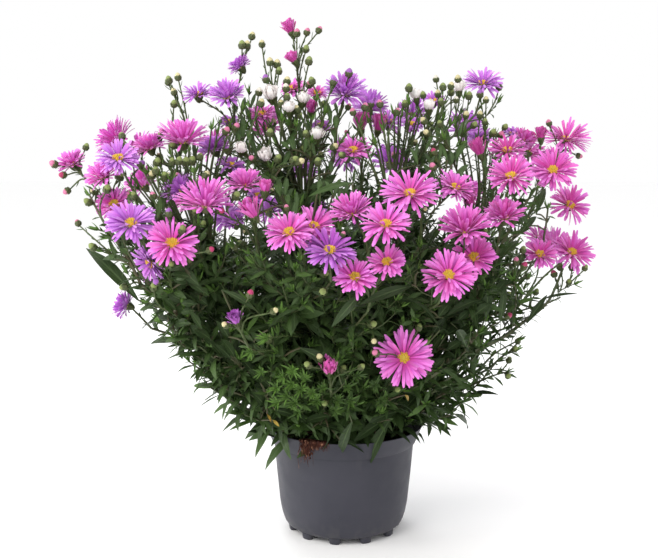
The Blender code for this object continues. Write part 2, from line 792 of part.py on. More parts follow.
def branch_route(stem, truss, share, attempt):
    """Lay a branch from a stem to a truss, bent aside a little more at each attempt."""
    start, direction = stem.place(share)
    reach = (truss.start - start).length
    handle = start + (direction - truss.direction * 0.1) * (0.35 * reach)
    handle = handle.lerp(truss.start - truss.direction * (0.5 * reach), 0.6)
    first, second = across((truss.start - start).normalized())
    bend = 3.0 * attempt * min(reach / 80.0, 1.0)
    aside = first * math.cos(GOLDEN_ANGLE * attempt) + second * math.sin(GOLDEN_ANGLE * attempt)
    return bezier_points(start, handle + aside * bend, truss.start, 3)


def grow_branches(stem, space):
    """Grow a stem's tube and its branches clear of everything else."""
    name = stem.node.name
    route = stem.route()
    main = tube(route, STEM_RADIUS, STEM_RADIUS * STEM_TAPER)
    blockers = space.blockers(name, main)
    if blockers:
        print(name, "main stem meets", blockers)
    space.add(name, main)
    stem.node.shapes.append(main)
    stem.carriers.append((route[1:], STEM_RADIUS))
    for truss, share in stem.trusses:
        for attempt in range(BRANCH_TRIES):
            route = branch_route(stem, truss, share, attempt)
            shape = tube(route, BRANCH_RADIUS * 0.85, BRANCH_RADIUS, STALK_SIDES, truss.direction)
            blockers = space.blockers(name, shape)
            blockers = [other for other in blockers if other != truss.node.name]
            if not blockers:
                break
        if blockers:
            print(name, "branch to", truss.node.name, "meets", blockers)
        space.add(name, shape)
        stem.node.shapes.append(shape)
        stem.carriers.append((route, BRANCH_RADIUS))


def leaf_size(order, share, draw):
    """Give the length and width of a leaf at a share of its carrier; order 0 is the main stem."""
    if order == 0:
        length = LEAF_LENGTH * (1.0 - 0.45 * share) * draw.uniform(0.85, 1.15)
        return length, LEAF_WIDTH * length / LEAF_LENGTH
    length = BRANCH_LEAF_LENGTH * (1.0 - 0.5 * share) * draw.uniform(0.8, 1.2)
    return length, max(0.16 * length, BRANCH_LEAF_WIDTH)


def grow_leaves(stem, space):
    """Set leaves round a stem and its branches in a spiral, and leave out those that find no room."""
    name = stem.node.name
    draw = random.Random(100 + stem.number)
    count = 0
    for order, (route, radius) in enumerate(stem.carriers):
        total = sum((end - start).length for start, end in zip(route, route[1:]))
        distance = 16.0 if order == 0 else 12.0
        turn = draw.uniform(0, 2 * math.pi)
        while distance < total - 5.0:
            middle, direction = point_along(route, distance)
            length, width = leaf_size(order, distance / total, draw)
            lean = draw.uniform(0.45, 0.9)
            droop = draw.uniform(0.1, 0.35) * length
            first, second = across(direction)
            for attempt in range(LEAF_TRIES):
                angle = turn + attempt * LEAF_TRY_TURN
                outward = first * math.cos(angle) + second * math.sin(angle)
                heading = (outward + direction * lean).normalized()
                side = direction.cross(outward).normalized()
                shape = blade(middle - heading * (0.15 * radius), heading, side, length, width, droop)
                if not space.blockers(name, shape):
                    space.add(name, shape)
                    stem.node.shapes.append(shape)
                    count += 1
                    break
            turn += GOLDEN_ANGLE
            distance += LEAF_SPACING * (1.0 if order == 0 else 1.25)
    return count


def grow_buds(stem, space):
    """Set a bud on a thin stalk towards the end of each branch, where there is room for it."""
    name = stem.node.name
    draw = random.Random(200 + stem.number)
    count = 0
    for route, radius in stem.carriers[1:]:
        total = sum((end - start).length for start, end in zip(route, route[1:]))
        middle, direction = point_along(route, total * BUD_PLACE)
        first, second = across(direction)
        turn = draw.uniform(0, 2 * math.pi)
        length = draw.uniform(14, 30)
        size = draw.uniform(0.85, 1.1) * BUD_RADIUS
        for attempt in range(BUD_TRIES):
            angle = turn + attempt * BUD_TRY_TURN
            outward = first * math.cos(angle) + second * math.sin(angle)
            heading = (outward * 0.8 + direction + UP * 0.3).normalized()
            shape = bud(middle, middle + heading * length, heading, size)
            if not space.blockers(name, shape):
                space.add(name, shape)
                stem.node.shapes.append(shape)
                count += 1
                break
    return count


def solid_shape(item):
    """Read a finished object back as a shape in millimetres."""
    shape = Shape()
    shape.points = [vertex.co / METRES for vertex in item.data.vertices]
    shape.faces = [tuple(face.vertices) for face in item.data.polygons]
    return shape


def build():
    """Build the whole plant in its pot."""
    for item in list(bpy.data.objects):
        bpy.data.objects.remove(item)
    space = Space()
    stems = plan_stems()
    trusses = plan_trusses()
    give_trusses(stems, trusses)
    draw = random.Random(7)
    for truss in trusses:
        fill_truss(truss, space, draw)
    for item in (make_pot(), make_soil([stem.foot for stem in stems])):
        space.add(item.name, solid_shape(item))
    for stem in stems:
        grow_branches(stem, space)
    leaves = sum(grow_leaves(stem, space) for stem in stems)
    buds = sum(grow_buds(stem, space) for stem in stems)
    blooms = sum(len(truss.blooms) for truss in trusses)
    print(len(trusses), "trusses", blooms, "blooms", leaves, "leaves", buds, "buds")
    materials = {}
    for name, colour in PLANT_COLOURS.items():
        materials[colour] = make_material(name, colour, 0.6)
    for node in [stem.node for stem in stems] + [truss.node for truss in trusses]:
        join_repeats(node, materials[node.colour])


build()
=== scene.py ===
# %% [markdown]
# # A potted New York aster
# The plant has thin stems that fork near the top, narrow leaves, and daisy blooms in pink, violet and
# white. It stands in a grey nursery pot. A plant like this is one small rule for a leaf and one for a
# bloom, repeated hundreds of times with small seeded differences, so this lesson makes those rules
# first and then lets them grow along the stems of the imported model.

import math
import random

import bpy
import numpy as np
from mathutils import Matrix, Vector
from mathutils.kdtree import KDTree


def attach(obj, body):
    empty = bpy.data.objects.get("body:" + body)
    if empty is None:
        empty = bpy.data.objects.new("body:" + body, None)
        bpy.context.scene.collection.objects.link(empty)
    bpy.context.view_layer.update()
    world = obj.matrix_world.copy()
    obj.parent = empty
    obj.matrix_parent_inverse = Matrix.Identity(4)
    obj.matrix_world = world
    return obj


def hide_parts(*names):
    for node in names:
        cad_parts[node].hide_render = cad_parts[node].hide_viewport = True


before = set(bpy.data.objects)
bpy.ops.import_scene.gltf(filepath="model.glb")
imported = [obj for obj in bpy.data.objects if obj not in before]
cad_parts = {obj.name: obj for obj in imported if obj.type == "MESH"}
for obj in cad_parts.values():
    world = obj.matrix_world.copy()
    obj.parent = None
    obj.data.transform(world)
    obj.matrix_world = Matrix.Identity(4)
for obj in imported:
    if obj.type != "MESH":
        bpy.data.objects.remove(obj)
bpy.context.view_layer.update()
print("nodes in the packed model:", len(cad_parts))

# %% [markdown]
# ## The camera
# The picture was taken from a little above the blooms. The camera's place was worked out from the
# pot's rim and foot, whose sizes the model gives, and a focal length in pixels becomes a lens in
# millimetres by way of the sensor's width.

# %% Place the camera
METRES = 0.001
UP = Vector((0.0, 0.0, 1.0))
EYE = Vector((0.0, -900.0, 353.5))
EYE_PITCH = 0.144
EYE_YAW = -0.0147
FOCAL_PIXELS = 1044.0
PICTURE_WIDTH = 658.0
PICTURE_MIDDLE = (329.0, 279.0)
SENSOR_WIDTH = 36.0

camera_data = bpy.data.cameras.new("camera")
camera_data.sensor_width = SENSOR_WIDTH
camera_data.lens = SENSOR_WIDTH * FOCAL_PIXELS / PICTURE_WIDTH
camera_data.clip_start = 0.01
camera = bpy.data.objects.new("camera", camera_data)
camera.location = EYE * METRES
camera.rotation_euler = (math.pi / 2 - EYE_PITCH, 0.0, -EYE_YAW)
bpy.context.scene.collection.objects.link(camera)
bpy.context.scene.camera = camera
print("lens of {:.1f} mm".format(camera_data.lens))

# %% [markdown]
# ## Floor and light
# The object stands on a plain pale floor under a large soft lamp, with an even pale sky all round.
# The plain view transform keeps the pinks as vivid as they are.

# %% Floor, sky and lamps
CROWN_MIDDLE = Vector((0.0, 0.0, 0.28))


def add_lamp(name, place, size, power, colour):
    """Hang a square soft lamp at a place, in metres, and aim it at the crown."""
    data = bpy.data.lights.new(name, "AREA")
    data.size = size
    data.energy = power
    data.color = colour
    lamp = bpy.data.objects.new(name, data)
    lamp.location = place
    lamp.rotation_euler = (Vector(place) - CROWN_MIDDLE).to_track_quat("Z", "Y").to_euler()
    bpy.context.scene.collection.objects.link(lamp)


FLOOR_REACH = 6.0
pale = bpy.data.materials.new("pale_floor")
pale.use_nodes = True
pale.node_tree.nodes["Principled BSDF"].inputs["Base Color"].default_value = (0.985, 0.985, 0.985, 1.0)
pale.node_tree.nodes["Principled BSDF"].inputs["Roughness"].default_value = 0.9
floor_mesh = bpy.data.meshes.new("floor")
corners = [(x * FLOOR_REACH, y * FLOOR_REACH, 0.0) for x, y in ((-1, -1), (1, -1), (1, 1), (-1, 1))]
floor_mesh.from_pydata(corners, [], [(0, 1, 2, 3)])
floor_mesh.materials.append(pale)
floor = bpy.data.objects.new("floor", floor_mesh)
bpy.context.scene.collection.objects.link(floor)

world = bpy.data.worlds.new("pale_sky")
world.use_nodes = True
world.node_tree.nodes["Background"].inputs["Color"].default_value = (1.0, 1.0, 1.0, 1.0)
world.node_tree.nodes["Background"].inputs["Strength"].default_value = 1.0
bpy.context.scene.world = world
bpy.context.scene.view_settings.view_transform = "Standard"
add_lamp("key", (-0.9, -1.3, 1.5), 1.0, 20.0, (1.0, 0.98, 0.95))
add_lamp("rim", (-0.4, 1.2, 1.3), 0.8, 9.0, (0.95, 0.97, 1.0))
add_lamp("side", (-1.5, -0.25, 0.4), 0.6, 9.0, (1.0, 0.98, 0.95))
print("floor, sky and three lamps")

# %% [markdown]
# ## Where things grow
# Blooms sit on the outer surface of a rounded crown. The crown is given by its half width and half
# depth at a few heights, in millimetres. A bloom that the picture shows is placed by its pixel: its
# line of sight is followed until it enters the crown.

# %% The crown's surface and lines of sight
CROWN = ((98, 72, 74), (117, 98, 92), (162, 135, 126), (207, 170, 152), (251, 200, 166), (294, 212, 158),
         (320, 210, 122), (337, 204, 96), (358, 180, 78), (379, 140, 62), (412, 78, 42), (445, 20, 20))
CROWN_SHEAR = 0.30
SIGHT_START = 640.0
SIGHT_STEP = 2.0
SIGHT_STEPS = 200


def interpolate(rows, key, column):
    """Read a column of a table at a key, which the first column holds in rising order."""
    if key <= rows[0][0]:
        return rows[0][column]
    for low, high in zip(rows, rows[1:]):
        if key <= high[0]:
            share = (key - low[0]) / (high[0] - low[0])
            return low[column] + share * (high[column] - low[column])
    return rows[-1][column]


def crown_ratio(point):
    """Tell how far out a point lies: 1 on the crown's surface, less inside it."""
    width = interpolate(CROWN, point.z, 1)
    depth = interpolate(CROWN, point.z, 2)
    return math.hypot(point.x / width, (point.y - CROWN_SHEAR * point.x) / depth)


def crown_point(azimuth, height, scale):
    """Give the point at a scale of the crown's surface, at an azimuth in radians and a height."""
    x = scale * interpolate(CROWN, height, 1) * math.cos(azimuth)
    y = scale * interpolate(CROWN, height, 2) * math.sin(azimuth) + CROWN_SHEAR * x
    return Vector((x, y, height))


def view_axes():
    """Give the viewpoint's right, up and forward directions."""
    forward = Vector((math.sin(EYE_YAW) * math.cos(EYE_PITCH), math.cos(EYE_YAW) * math.cos(EYE_PITCH),
                      -math.sin(EYE_PITCH)))
    right = Vector((math.cos(EYE_YAW), -math.sin(EYE_YAW), 0.0))
    return right, right.cross(forward), forward


def place_by_sight(pixel_x, pixel_y, set_back):
    """Place a pixel on the crown: where its line of sight enters it, or passes nearest to it."""
    right, up, forward = view_axes()
    sight = forward + right * ((pixel_x - PICTURE_MIDDLE[0]) / FOCAL_PIXELS)
    sight = sight - up * ((pixel_y - PICTURE_MIDDLE[1]) / FOCAL_PIXELS)
    nearest = None
    for step in range(SIGHT_STEPS):
        point = EYE + sight * (SIGHT_START + SIGHT_STEP * step)
        ratio = crown_ratio(point)
        if nearest is None or ratio < nearest[0]:
            nearest = (ratio, point)
        if ratio <= 1.0:
            break
    return nearest[1] + sight * set_back


print("crown of", len(CROWN), "heights")

# %% [markdown]
# ## The blooms
# Each row is one bloom: the pixel of its disc, its width in pixels, its form, how far it faces away
# from the viewer and the way it leans in the picture, in degrees, and how far it is set back. Rows in
# one bracket share a forked stalk, a truss.

# %% Blooms in the picture
OPEN = "open"
DOME = "domed"
HALF = "half open"
PINK_BLOOMS = (
    ((291, 31, 16, HALF, 75, 115, 0), (294, 60, 11, HALF, 70, 125, 5)),
    ((293, 88, 24, OPEN, 60, 100, 60), (317, 93, 20, OPEN, 62, 80, 55), (311, 111, 15, HALF, 60, 90, 45)),
    ((262, 114, 30, OPEN, 58, 100, 40),),
    ((183, 141, 48, DOME, 78, 92, 0), (150, 147, 30, DOME, 74, 110, 18)),
    ((72, 163, 28, DOME, 66, 120, 0), (103, 176, 32, DOME, 60, 120, 0), (114, 204, 36, OPEN, 40, 110, 34)),
    ((205, 204, 55, DOME, 70, 95, 0), (245, 184, 34, DOME, 70, 95, 14), (265, 190, 12, HALF, 75, 85, 0),
     (254, 215, 26, HALF, 60, 120, -8)),
    ((172, 243, 51, OPEN, 38, 80, 0),),
    ((289, 232, 48, OPEN, 50, 100, 0), (314, 226, 44, OPEN, 52, 70, 22)),
    ((353, 150, 36, OPEN, 55, 90, 25), (361, 128, 22, HALF, 70, 90, 40), (378, 129, 22, HALF, 70, 80, 50)),
    ((507, 150, 38, OPEN, 62, 95, 0), (524, 140, 26, DOME, 80, 60, 30), (480, 153, 21, HALF, 68, 110, -6),
     (511, 176, 46, OPEN, 48, 95, -22)),
    ((566, 139, 48, OPEN, 62, 78, 0), (553, 170, 45, OPEN, 36, 90, -20), (541, 137, 14, HALF, 75, 90, 2),
     (570, 205, 40, OPEN, 46, 50, 0)),
    ((410, 193, 56, OPEN, 52, 92, 0), (455, 187, 40, OPEN, 60, 70, 18)),
    ((504, 217, 38, DOME, 66, 95, 0), (470, 203, 15, HALF, 76, 100, 40)),
    ((352, 212, 40, DOME, 62, 100, 14), (386, 224, 50, OPEN, 48, 92, -12)),
    ((465, 230, 48, DOME, 56, 95, 0), (474, 257, 44, OPEN, 38, 90, 6)),
    ((387, 262, 37, OPEN, 46, 100, 4), (355, 277, 42, OPEN, 46, 90, -4)),
    ((449, 275, 53, OPEN, 34, 80, -10),),
    ((540, 254, 34, OPEN, 48, 70, 0), (572, 252, 43, OPEN, 45, 60, 0)),
    ((404, 358, 56, OPEN, 12, 90, 0),),
    ((329, 370, 18, HALF, 35, 90, 0),),
)
VIOLET_BLOOMS = (
    ((240, 66, 22, DOME, 78, 125, 10), (227, 96, 34, DOME, 60, 100, 0), (198, 94, 32, OPEN, 74, 100, 10)),
    ((229, 122, 22, OPEN, 70, 100, 55), (214, 148, 30, DOME, 72, 105, 40), (231, 165, 28, OPEN, 70, 80, 45)),
    ((118, 158, 42, OPEN, 52, 95, -22),),
    ((180, 190, 34, DOME, 78, 125, 30),),
    ((258, 196, 24, OPEN, 66, 90, 40), (234, 221, 22, DOME, 66, 110, 40)),
    ((131, 223, 50, OPEN, 48, 95, -4), (150, 263, 40, OPEN, 64, 215, 22)),
    ((330, 250, 52, OPEN, 52, 85, -4),),
    ((345, 93, 40, DOME, 52, 90, 10), (321, 126, 18, OPEN, 60, 90, 45)),
    ((388, 122, 32, OPEN, 62, 100, 60), (412, 124, 24, OPEN, 62, 80, 70), (433, 101, 24, OPEN, 60, 90, 60)),
    ((483, 83, 38, OPEN, 62, 88, 10),),
    ((480, 138, 28, OPEN, 72, 100, 55), (513, 134, 24, OPEN, 76, 80, 70)),
    ((126, 305, 28, DOME, 84, 160, 0),),
    ((236, 321, 15, HALF, 50, 110, 0),),
)
WHITE_BLOOMS = (
    ((271, 97, 18, HALF, 55, 100, 5), (289, 110, 12, HALF, 60, 95, 5), (303, 101, 11, HALF, 65, 80, 10)),
    ((266, 158, 17, HALF, 42, 100, 20), (241, 150, 11, HALF, 45, 90, 15), (317, 137, 14, HALF, 60, 90, 20)),
    ((459, 90, 14, HALF, 75, 90, 10), (429, 108, 11, HALF, 70, 90, 10), (416, 97, 10, HALF, 75, 100, 15)),
)
print("blooms in the picture:", sum(len(rows) for rows in PINK_BLOOMS + VIOLET_BLOOMS + WHITE_BLOOMS))

# %% [markdown]
# A bloom in space faces the viewer, turned aside by its two angles. The picture doesn't show the far
# side, so a seeded rule places its trusses round the crown.

# %% Blooms in space
CUP_DEPTH = 7.5
STALK_INSET = 2.5
HALF_STRETCH = 1.5
LEAST_HALF = 7.5
BACK_TRUSSES = 9
BACK_SCALE = 1.04
BACK_START = 21
BACK_SWEEP = 145
BACK_FOOT = 235
BACK_RISE = 160
BACK_TOP = 382.0
BACK_FALL = 56.0
BLOOM_SPACING = 42.0
GOLDEN_SHARE = 0.618


class Bloom:
    """One bloom: its disc's middle, the way it faces, its reach and its form."""

    def __init__(self, middle, facing, reach, form):
        self.middle = middle
        self.facing = facing.normalized()
        self.reach = reach
        self.form = form
        self.base = middle - self.facing * (CUP_DEPTH - STALK_INSET)


def bloom_in_picture(row):
    """Turn a row of the picture's blooms into a bloom in space."""
    pixel_x, pixel_y, width, form, away, lean, set_back = row
    right, up, forward = view_axes()
    middle = place_by_sight(pixel_x, pixel_y, set_back)
    distance = (middle - EYE).dot(forward)
    reach = 0.5 * width * distance / FOCAL_PIXELS
    if form == HALF:
        reach = max(reach * HALF_STRETCH, LEAST_HALF)
    away = math.radians(away)
    lean = math.radians(lean)
    sideways = right * math.cos(lean) + up * math.sin(lean)
    facing = (EYE - middle).normalized() * math.cos(away) + sideways * math.sin(away)
    return Bloom(middle, facing, reach, form)


def back_blooms():
    """Place the trusses on the far side, which the picture doesn't show, by a seeded rule."""
    draw = random.Random(41)
    trusses = []
    for number in range(BACK_TRUSSES):
        share = (number + 0.5) / BACK_TRUSSES
        azimuth = math.radians(BACK_START + BACK_SWEEP * ((number * GOLDEN_SHARE) % 1.0))
        height = min(BACK_FOOT + BACK_RISE * share, BACK_TOP - BACK_FALL * abs(math.cos(azimuth)))
        blooms = []
        for member in range(3 if number % 3 == 1 else 2):
            turned = azimuth + (member - 1) * BLOOM_SPACING / interpolate(CROWN, height, 1)
            middle = crown_point(turned, height + draw.uniform(-14, 14), BACK_SCALE)
            outward = Vector((middle.x, middle.y, 0.0)).normalized()
            facing = outward + UP * draw.uniform(0.7, 1.3)
            form = DOME if draw.random() < 0.4 else OPEN
            blooms.append(Bloom(middle, facing, draw.uniform(14.5, 18.5), form))
        trusses.append(("violet" if number % 3 == 1 else "pink", blooms))
    return trusses


print("trusses on the far side:", BACK_TRUSSES)

# %% [markdown]
# ## Stems
# Steep stems stand inside and leaning ones round them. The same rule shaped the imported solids, so the
# fine model lies in them. A ring of stems is given by their number, its radius and turn, and the height
# and crown scale of their tips.

# %% Plan the stems
GOLDEN_ANGLE = math.radians(137.5)
SOIL_TOP = 85.5
HOLE_DEPTH = 22.0
FOOT_GAP = 0.35
STEM_RINGS = ((4, (11.0, 0.55, 330.0, 0.34)), (9, (30.0, 0.28, 246.0, 0.66)))
STEM_NECK = 6.0
STEM_STEPS = 5


def bezier_points(start, handle, end, steps):
    """Give evenly shared points of a quadratic curve, both ends included."""
    shares = [step / steps for step in range(steps + 1)]
    return [start * (1 - share) ** 2 + handle * (2 * share * (1 - share)) + end * share ** 2
            for share in shares]


def point_along(route, distance):
    """Give the point and direction at a distance along a route, or None past its end."""
    for start, end in zip(route, route[1:]):
        length = (end - start).length
        if distance <= length:
            return start.lerp(end, distance / length), (end - start).normalized()
        distance -= length
    return None


def across(direction):
    """Give two directions square to a direction and to each other."""
    other = UP if abs(direction.z) < 0.9 else Vector((1.0, 0.0, 0.0))
    first = other.cross(direction).normalized()
    return first, direction.cross(first).normalized()


class Stem:
    """A leafy stem: its course from the soil outward, and the trusses that it carries."""

    def __init__(self, number, azimuth, ring):
        radius, turn, tip_height, tip_scale = ring
        self.number = number
        self.name = "leafy_stem_{:02d}".format(number)
        out = Vector((math.cos(azimuth), math.sin(azimuth), 0.0))
        self.foot = out * radius + UP * (SOIL_TOP - HOLE_DEPTH + FOOT_GAP)
        neck = out * radius + UP * (SOIL_TOP + STEM_NECK)
        tip = crown_point(azimuth, tip_height, tip_scale)
        handle = neck.lerp(tip, 0.42) + UP * (0.16 * (tip - neck).length) - out * 6.0
        self.course = bezier_points(neck, handle, tip, STEM_STEPS)
        self.trusses = []

    def place(self, share):
        """Give the point and direction at a share of the course."""
        step = min(int(share * STEM_STEPS), STEM_STEPS - 1)
        start = self.course[step]
        end = self.course[step + 1]
        return start.lerp(end, share * STEM_STEPS - step), (end - start).normalized()

    def route(self):
        """Give the stem's own route, from its foot to the place of its highest branch."""
        last = max([share for truss, share in self.trusses], default=1.0)
        points = [point for step, point in enumerate(self.course) if step < last * STEM_STEPS - 0.2]
        return [self.foot] + points + [self.place(last)[0]]


def plan_stems():
    """Set out the leafy stems: steep ones inside, leaning ones round them."""
    stems = []
    for count, ring in STEM_RINGS:
        for number in range(count):
            azimuth = 2 * math.pi * (number + ring[1]) / count
            stems.append(Stem(len(stems) + 1, azimuth, ring))
    return stems


stems = plan_stems()
print("stems:", len(stems))

# %% [markdown]
# ## Trusses
# A truss is a forked stalk with its blooms. Its first stalk runs up the middle, and the others fork
# from it one after another, which keeps their feet together as on the real plant.

# %% Plan the trusses
STALK_GAP = 0.3


class Truss:
    """A forked stalk and its blooms: where it starts, which way, and what it carries."""

    def __init__(self, name, colour, blooms):
        self.name = name
        self.colour = colour
        self.blooms = blooms
        middle = sum((bloom.base for bloom in blooms), Vector()) / len(blooms)
        spread = max((bloom.base - middle).length for bloom in blooms)
        self.direction = (middle - Vector((0.0, 0.0, 70.0))).normalized()
        self.direction = (self.direction + UP * 0.35).normalized()
        self.start = middle - self.direction * (24.0 + 0.75 * spread)
        self.blooms.sort(key=lambda bloom: (bloom.base - self.start).angle(self.direction))

    def routes(self):
        """Give the route of each stalk: the first runs up the middle and the others fork from it."""
        found = []
        for number, bloom in enumerate(self.blooms):
            if number == 0:
                fork = self.start + self.direction * STALK_GAP
            else:
                fork = point_along(found[0], 3.0 + 3.5 * number)[0]
            handle = fork + self.direction * (0.5 * (bloom.base - fork).length)
            found.append(bezier_points(fork, handle, bloom.base + bloom.facing * 1.5, 2))
        return found


def plan_trusses():
    """Gather every truss, the ones in the picture first."""
    trusses = []
    counts = {"pink": 0, "violet": 0, "white": 0}
    tables = (("pink", PINK_BLOOMS), ("violet", VIOLET_BLOOMS), ("white", WHITE_BLOOMS))
    groups = [(colour, [bloom_in_picture(row) for row in rows]) for colour, table in tables for rows in table]
    groups += back_blooms()
    for colour, blooms in groups:
        counts[colour] += 1
        name = "{}_truss_{:02d}".format(colour, counts[colour])
        trusses.append(Truss(name, colour, blooms))
    return trusses


trusses = plan_trusses()
print("trusses:", len(trusses), "with", sum(len(truss.blooms) for truss in trusses), "blooms")

# %% [markdown]
# Each truss is given to the stem with the easiest branch to it: short, without a sharp turn, and on a
# stem that doesn't carry many others yet.

# %% Give each truss to a stem
CROWDING = 12.0


def attach_share(stem, truss):
    """Find the cost and the start, as a share of a stem's course, of the easiest branch to a truss."""
    best = None
    for step in range(20, 1, -1):
        share = step / 20.0
        start, direction = stem.place(share)
        reach = truss.start - start
        slant = reach.angle(direction)
        cost = reach.length * (1.0 + 2.0 * max(slant - 0.75, 0.0))
        if best is None or cost < best[0]:
            best = (cost, share)
    return best


def give_trusses(stems, trusses):
    """Give each truss to the stem with the easiest branch to it."""
    for truss in trusses:
        choices = []
        for stem in stems:
            cost, share = attach_share(stem, truss)
            choices.append((cost + CROWDING * len(stem.trusses), share, stem.number))
        cost, share, number = min(choices)
        stems[number - 1].trusses.append((truss, share))


def branch_route(stem, truss, share, attempt):
    """Lay a branch from a stem to a truss, bent aside a little more at each attempt."""
    start, direction = stem.place(share)
    reach = (truss.start - start).length
    handle = start + (direction - truss.direction * 0.1) * (0.35 * reach)
    handle = handle.lerp(truss.start - truss.direction * (0.5 * reach), 0.6)
    first, second = across((truss.start - start).normalized())
    bend = 3.0 * attempt * min(reach / 80.0, 1.0)
    aside = first * math.cos(GOLDEN_ANGLE * attempt) + second * math.sin(GOLDEN_ANGLE * attempt)
    return bezier_points(start, handle + aside * bend, truss.start, 3)


give_trusses(stems, trusses)
print("most trusses on a stem:", max(len(stem.trusses) for stem in stems))

# %% [markdown]
# ## One mesh for each piece
# Every leaf, petal and stalk here is a row of rings with a point at each end. Working on whole arrays
# at once is what makes thousands of them quick. Each point also keeps how far across and along its
# blade it lies, and each blade one of a few kinds, an age and a variation, which the materials read.
# The texture map gives each kind one cell, because blades of one kind look alike.

# %% Gather rings into a growth
AGES = 8
VARIATIONS = 8
CELL_MARGIN = 0.08


class Growth:
    """The points, faces and surface values of one piece before it becomes a mesh."""

    def __init__(self, name):
        self.name = name
        self.points = []
        self.values = []
        self.faces = []
        self.count = 0

    def add(self, rings, start, end, finish, values, shares, kinds):
        """Close rings of points, shaped (items, rings, sides, 3), with a start and an end point each."""
        items, rows, sides = rings.shape[:3]
        points = np.concatenate([start[:, None], rings.reshape(items, -1, 3), end[:, None]], 1)
        around = np.tile(values, (items, rows, 1)).reshape(items, -1)
        along = np.repeat(np.tile(shares, (items, 1)), sides, 1)
        middle = np.full((items, 1), 0.5)
        around = np.concatenate([middle, around, middle], 1)
        along = np.concatenate([middle * 0, along, middle * 2], 1)
        kind = np.repeat(np.asarray(kinds)[:, None], points.shape[1], 1)
        self.points.append(points.reshape(-1, 3))
        self.values.append(np.stack([around, along, kind, np.full_like(around, finish)], -1).reshape(-1, 4))
        corner = 1 + np.arange(rows * sides).reshape(rows, sides)
        after = np.roll(corner, -1, 1)
        quads = np.stack([corner[:-1], after[:-1], after[1:], corner[1:]], -1).reshape(-1, 4)
        first = np.stack([np.zeros(sides, int), after[0], corner[0]], -1)
        last = np.stack([corner[-1], after[-1], np.full(sides, rows * sides + 1)], -1)
        offset = self.count + np.arange(items)[:, None, None] * points.shape[1]
        for group in (quads, first, last):
            self.faces.append(((group[None] + offset).reshape(-1, group.shape[1]), finish))
        self.count += points.shape[0] * points.shape[1]


def mix_kinds(draw, count, age, spread=0.12):
    """Draw a kind for each of several blades, near an age from 0, old, to 1, young."""
    ages = np.clip(np.asarray(age) + draw.uniform(-spread, spread, count), 0, 1)
    return np.round(ages * (AGES - 1)) * VARIATIONS + draw.integers(0, VARIATIONS, count)


print("kinds of blade:", AGES * VARIATIONS)

# %% [markdown]
# ## A blade
# A leaf, a petal and a bract are the same thing with other numbers: a thin lens-shaped section that
# follows a bending midline, as wide at each point as its outline says. The section folds up a little on
# both sides of the midrib, as a real leaf does, which catches the light.

# %% Blades
SECTIONS = {3: ((-1, 0), (1, 0), (0, -1)),
            4: ((0, 1), (1, 0), (0, -1), (-1, 0)),
            8: ((0, 1), (0.55, 0.8), (1, 0), (0.55, -0.8), (0, -1), (-0.55, -0.8), (-1, 0), (-0.55, 0.8))}
LEAF_OUTLINE = ((0.0, 0.14), (0.14, 0.46), (0.32, 0.9), (0.5, 1.0), (0.7, 0.78), (0.88, 0.36))
SMALL_LEAF_OUTLINE = ((0.0, 0.16), (0.26, 0.8), (0.55, 1.0), (0.82, 0.5))
BRACT_OUTLINE = ((0.0, 0.5), (0.35, 1.0), (0.72, 0.7))
RAY_OUTLINE = ((0.0, 0.36), (0.38, 0.82), (0.77, 1.0), (0.955, 0.66))


def unit(vectors):
    """Scale vectors to length 1."""
    return vectors / np.maximum(np.linalg.norm(vectors, axis=-1, keepdims=True), 1e-9)


def add_blades(growth, finish, roots, along, across, length, width, outline, kinds,
               bend=0.0, twist=0.0, fold=0.2, thickness=0.35, sides=4):
    """Add blades that start at their roots, run along and bend away from their upper face."""
    roots = np.atleast_2d(roots)
    count = len(roots)
    length, width, bend, twist = (np.broadcast_to(np.asarray(x, float), count)[:, None]
                                  for x in (length, width, bend, twist))
    along = unit(np.broadcast_to(along, (count, 3)))
    across = np.broadcast_to(across, (count, 3))
    across = unit(across - along * (across * along).sum(-1, keepdims=True))
    upper = np.cross(across, along)
    share = np.array([row[0] for row in outline] + [1.0])
    half = 0.5 * width * np.array([row[1] for row in outline])
    angle = bend * share ** 1.3
    middle = 0.5 * (angle[:, 1:] + angle[:, :-1])[..., None]
    steps = (np.cos(middle) * along[:, None] - np.sin(middle) * upper[:, None])
    steps = steps * (np.diff(share) * length)[..., None]
    line = roots[:, None] + np.concatenate([np.zeros((count, 1, 3)), np.cumsum(steps, 1)], 1)
    angle = angle[:, :-1, None]
    lifted = upper[:, None] * np.cos(angle) + along[:, None] * np.sin(angle)
    turn = (twist * share[:-1])[..., None]
    side = across[:, None] * np.cos(turn) + lifted * np.sin(turn)
    face = lifted * np.cos(turn) - across[:, None] * np.sin(turn)
    section = np.array(SECTIONS[sides], float)
    sideways = half[..., None] * section[:, 0]
    raised = fold * np.abs(sideways) + 0.5 * thickness * section[:, 1]
    rings = line[:, :-1, None] + side[:, :, None] * sideways[..., None] + face[:, :, None] * raised[..., None]
    growth.add(rings, line[:, 0], line[:, -1], finish, 0.5 + 0.5 * section[:, 0], share[:-1], kinds)


print("blade outlines of", len(LEAF_OUTLINE), "and", len(RAY_OUTLINE), "stations")

# %% [markdown]
# ## Stalks and turned shapes
# A stalk is a tube along a smooth route. A bud, a disc or a cup is a profile turned round an axis. Both
# are again rings with a point at each end.

# %% Stalks and turned shapes
def whole_turn(count):
    """Give angles spaced evenly over a whole turn."""
    return 2 * np.pi * np.arange(count) / count


def fan(first, second, angles):
    """Give the directions at several angles, from the first of two square directions to the second."""
    return first * np.cos(angles)[:, None] + second * np.sin(angles)[:, None]


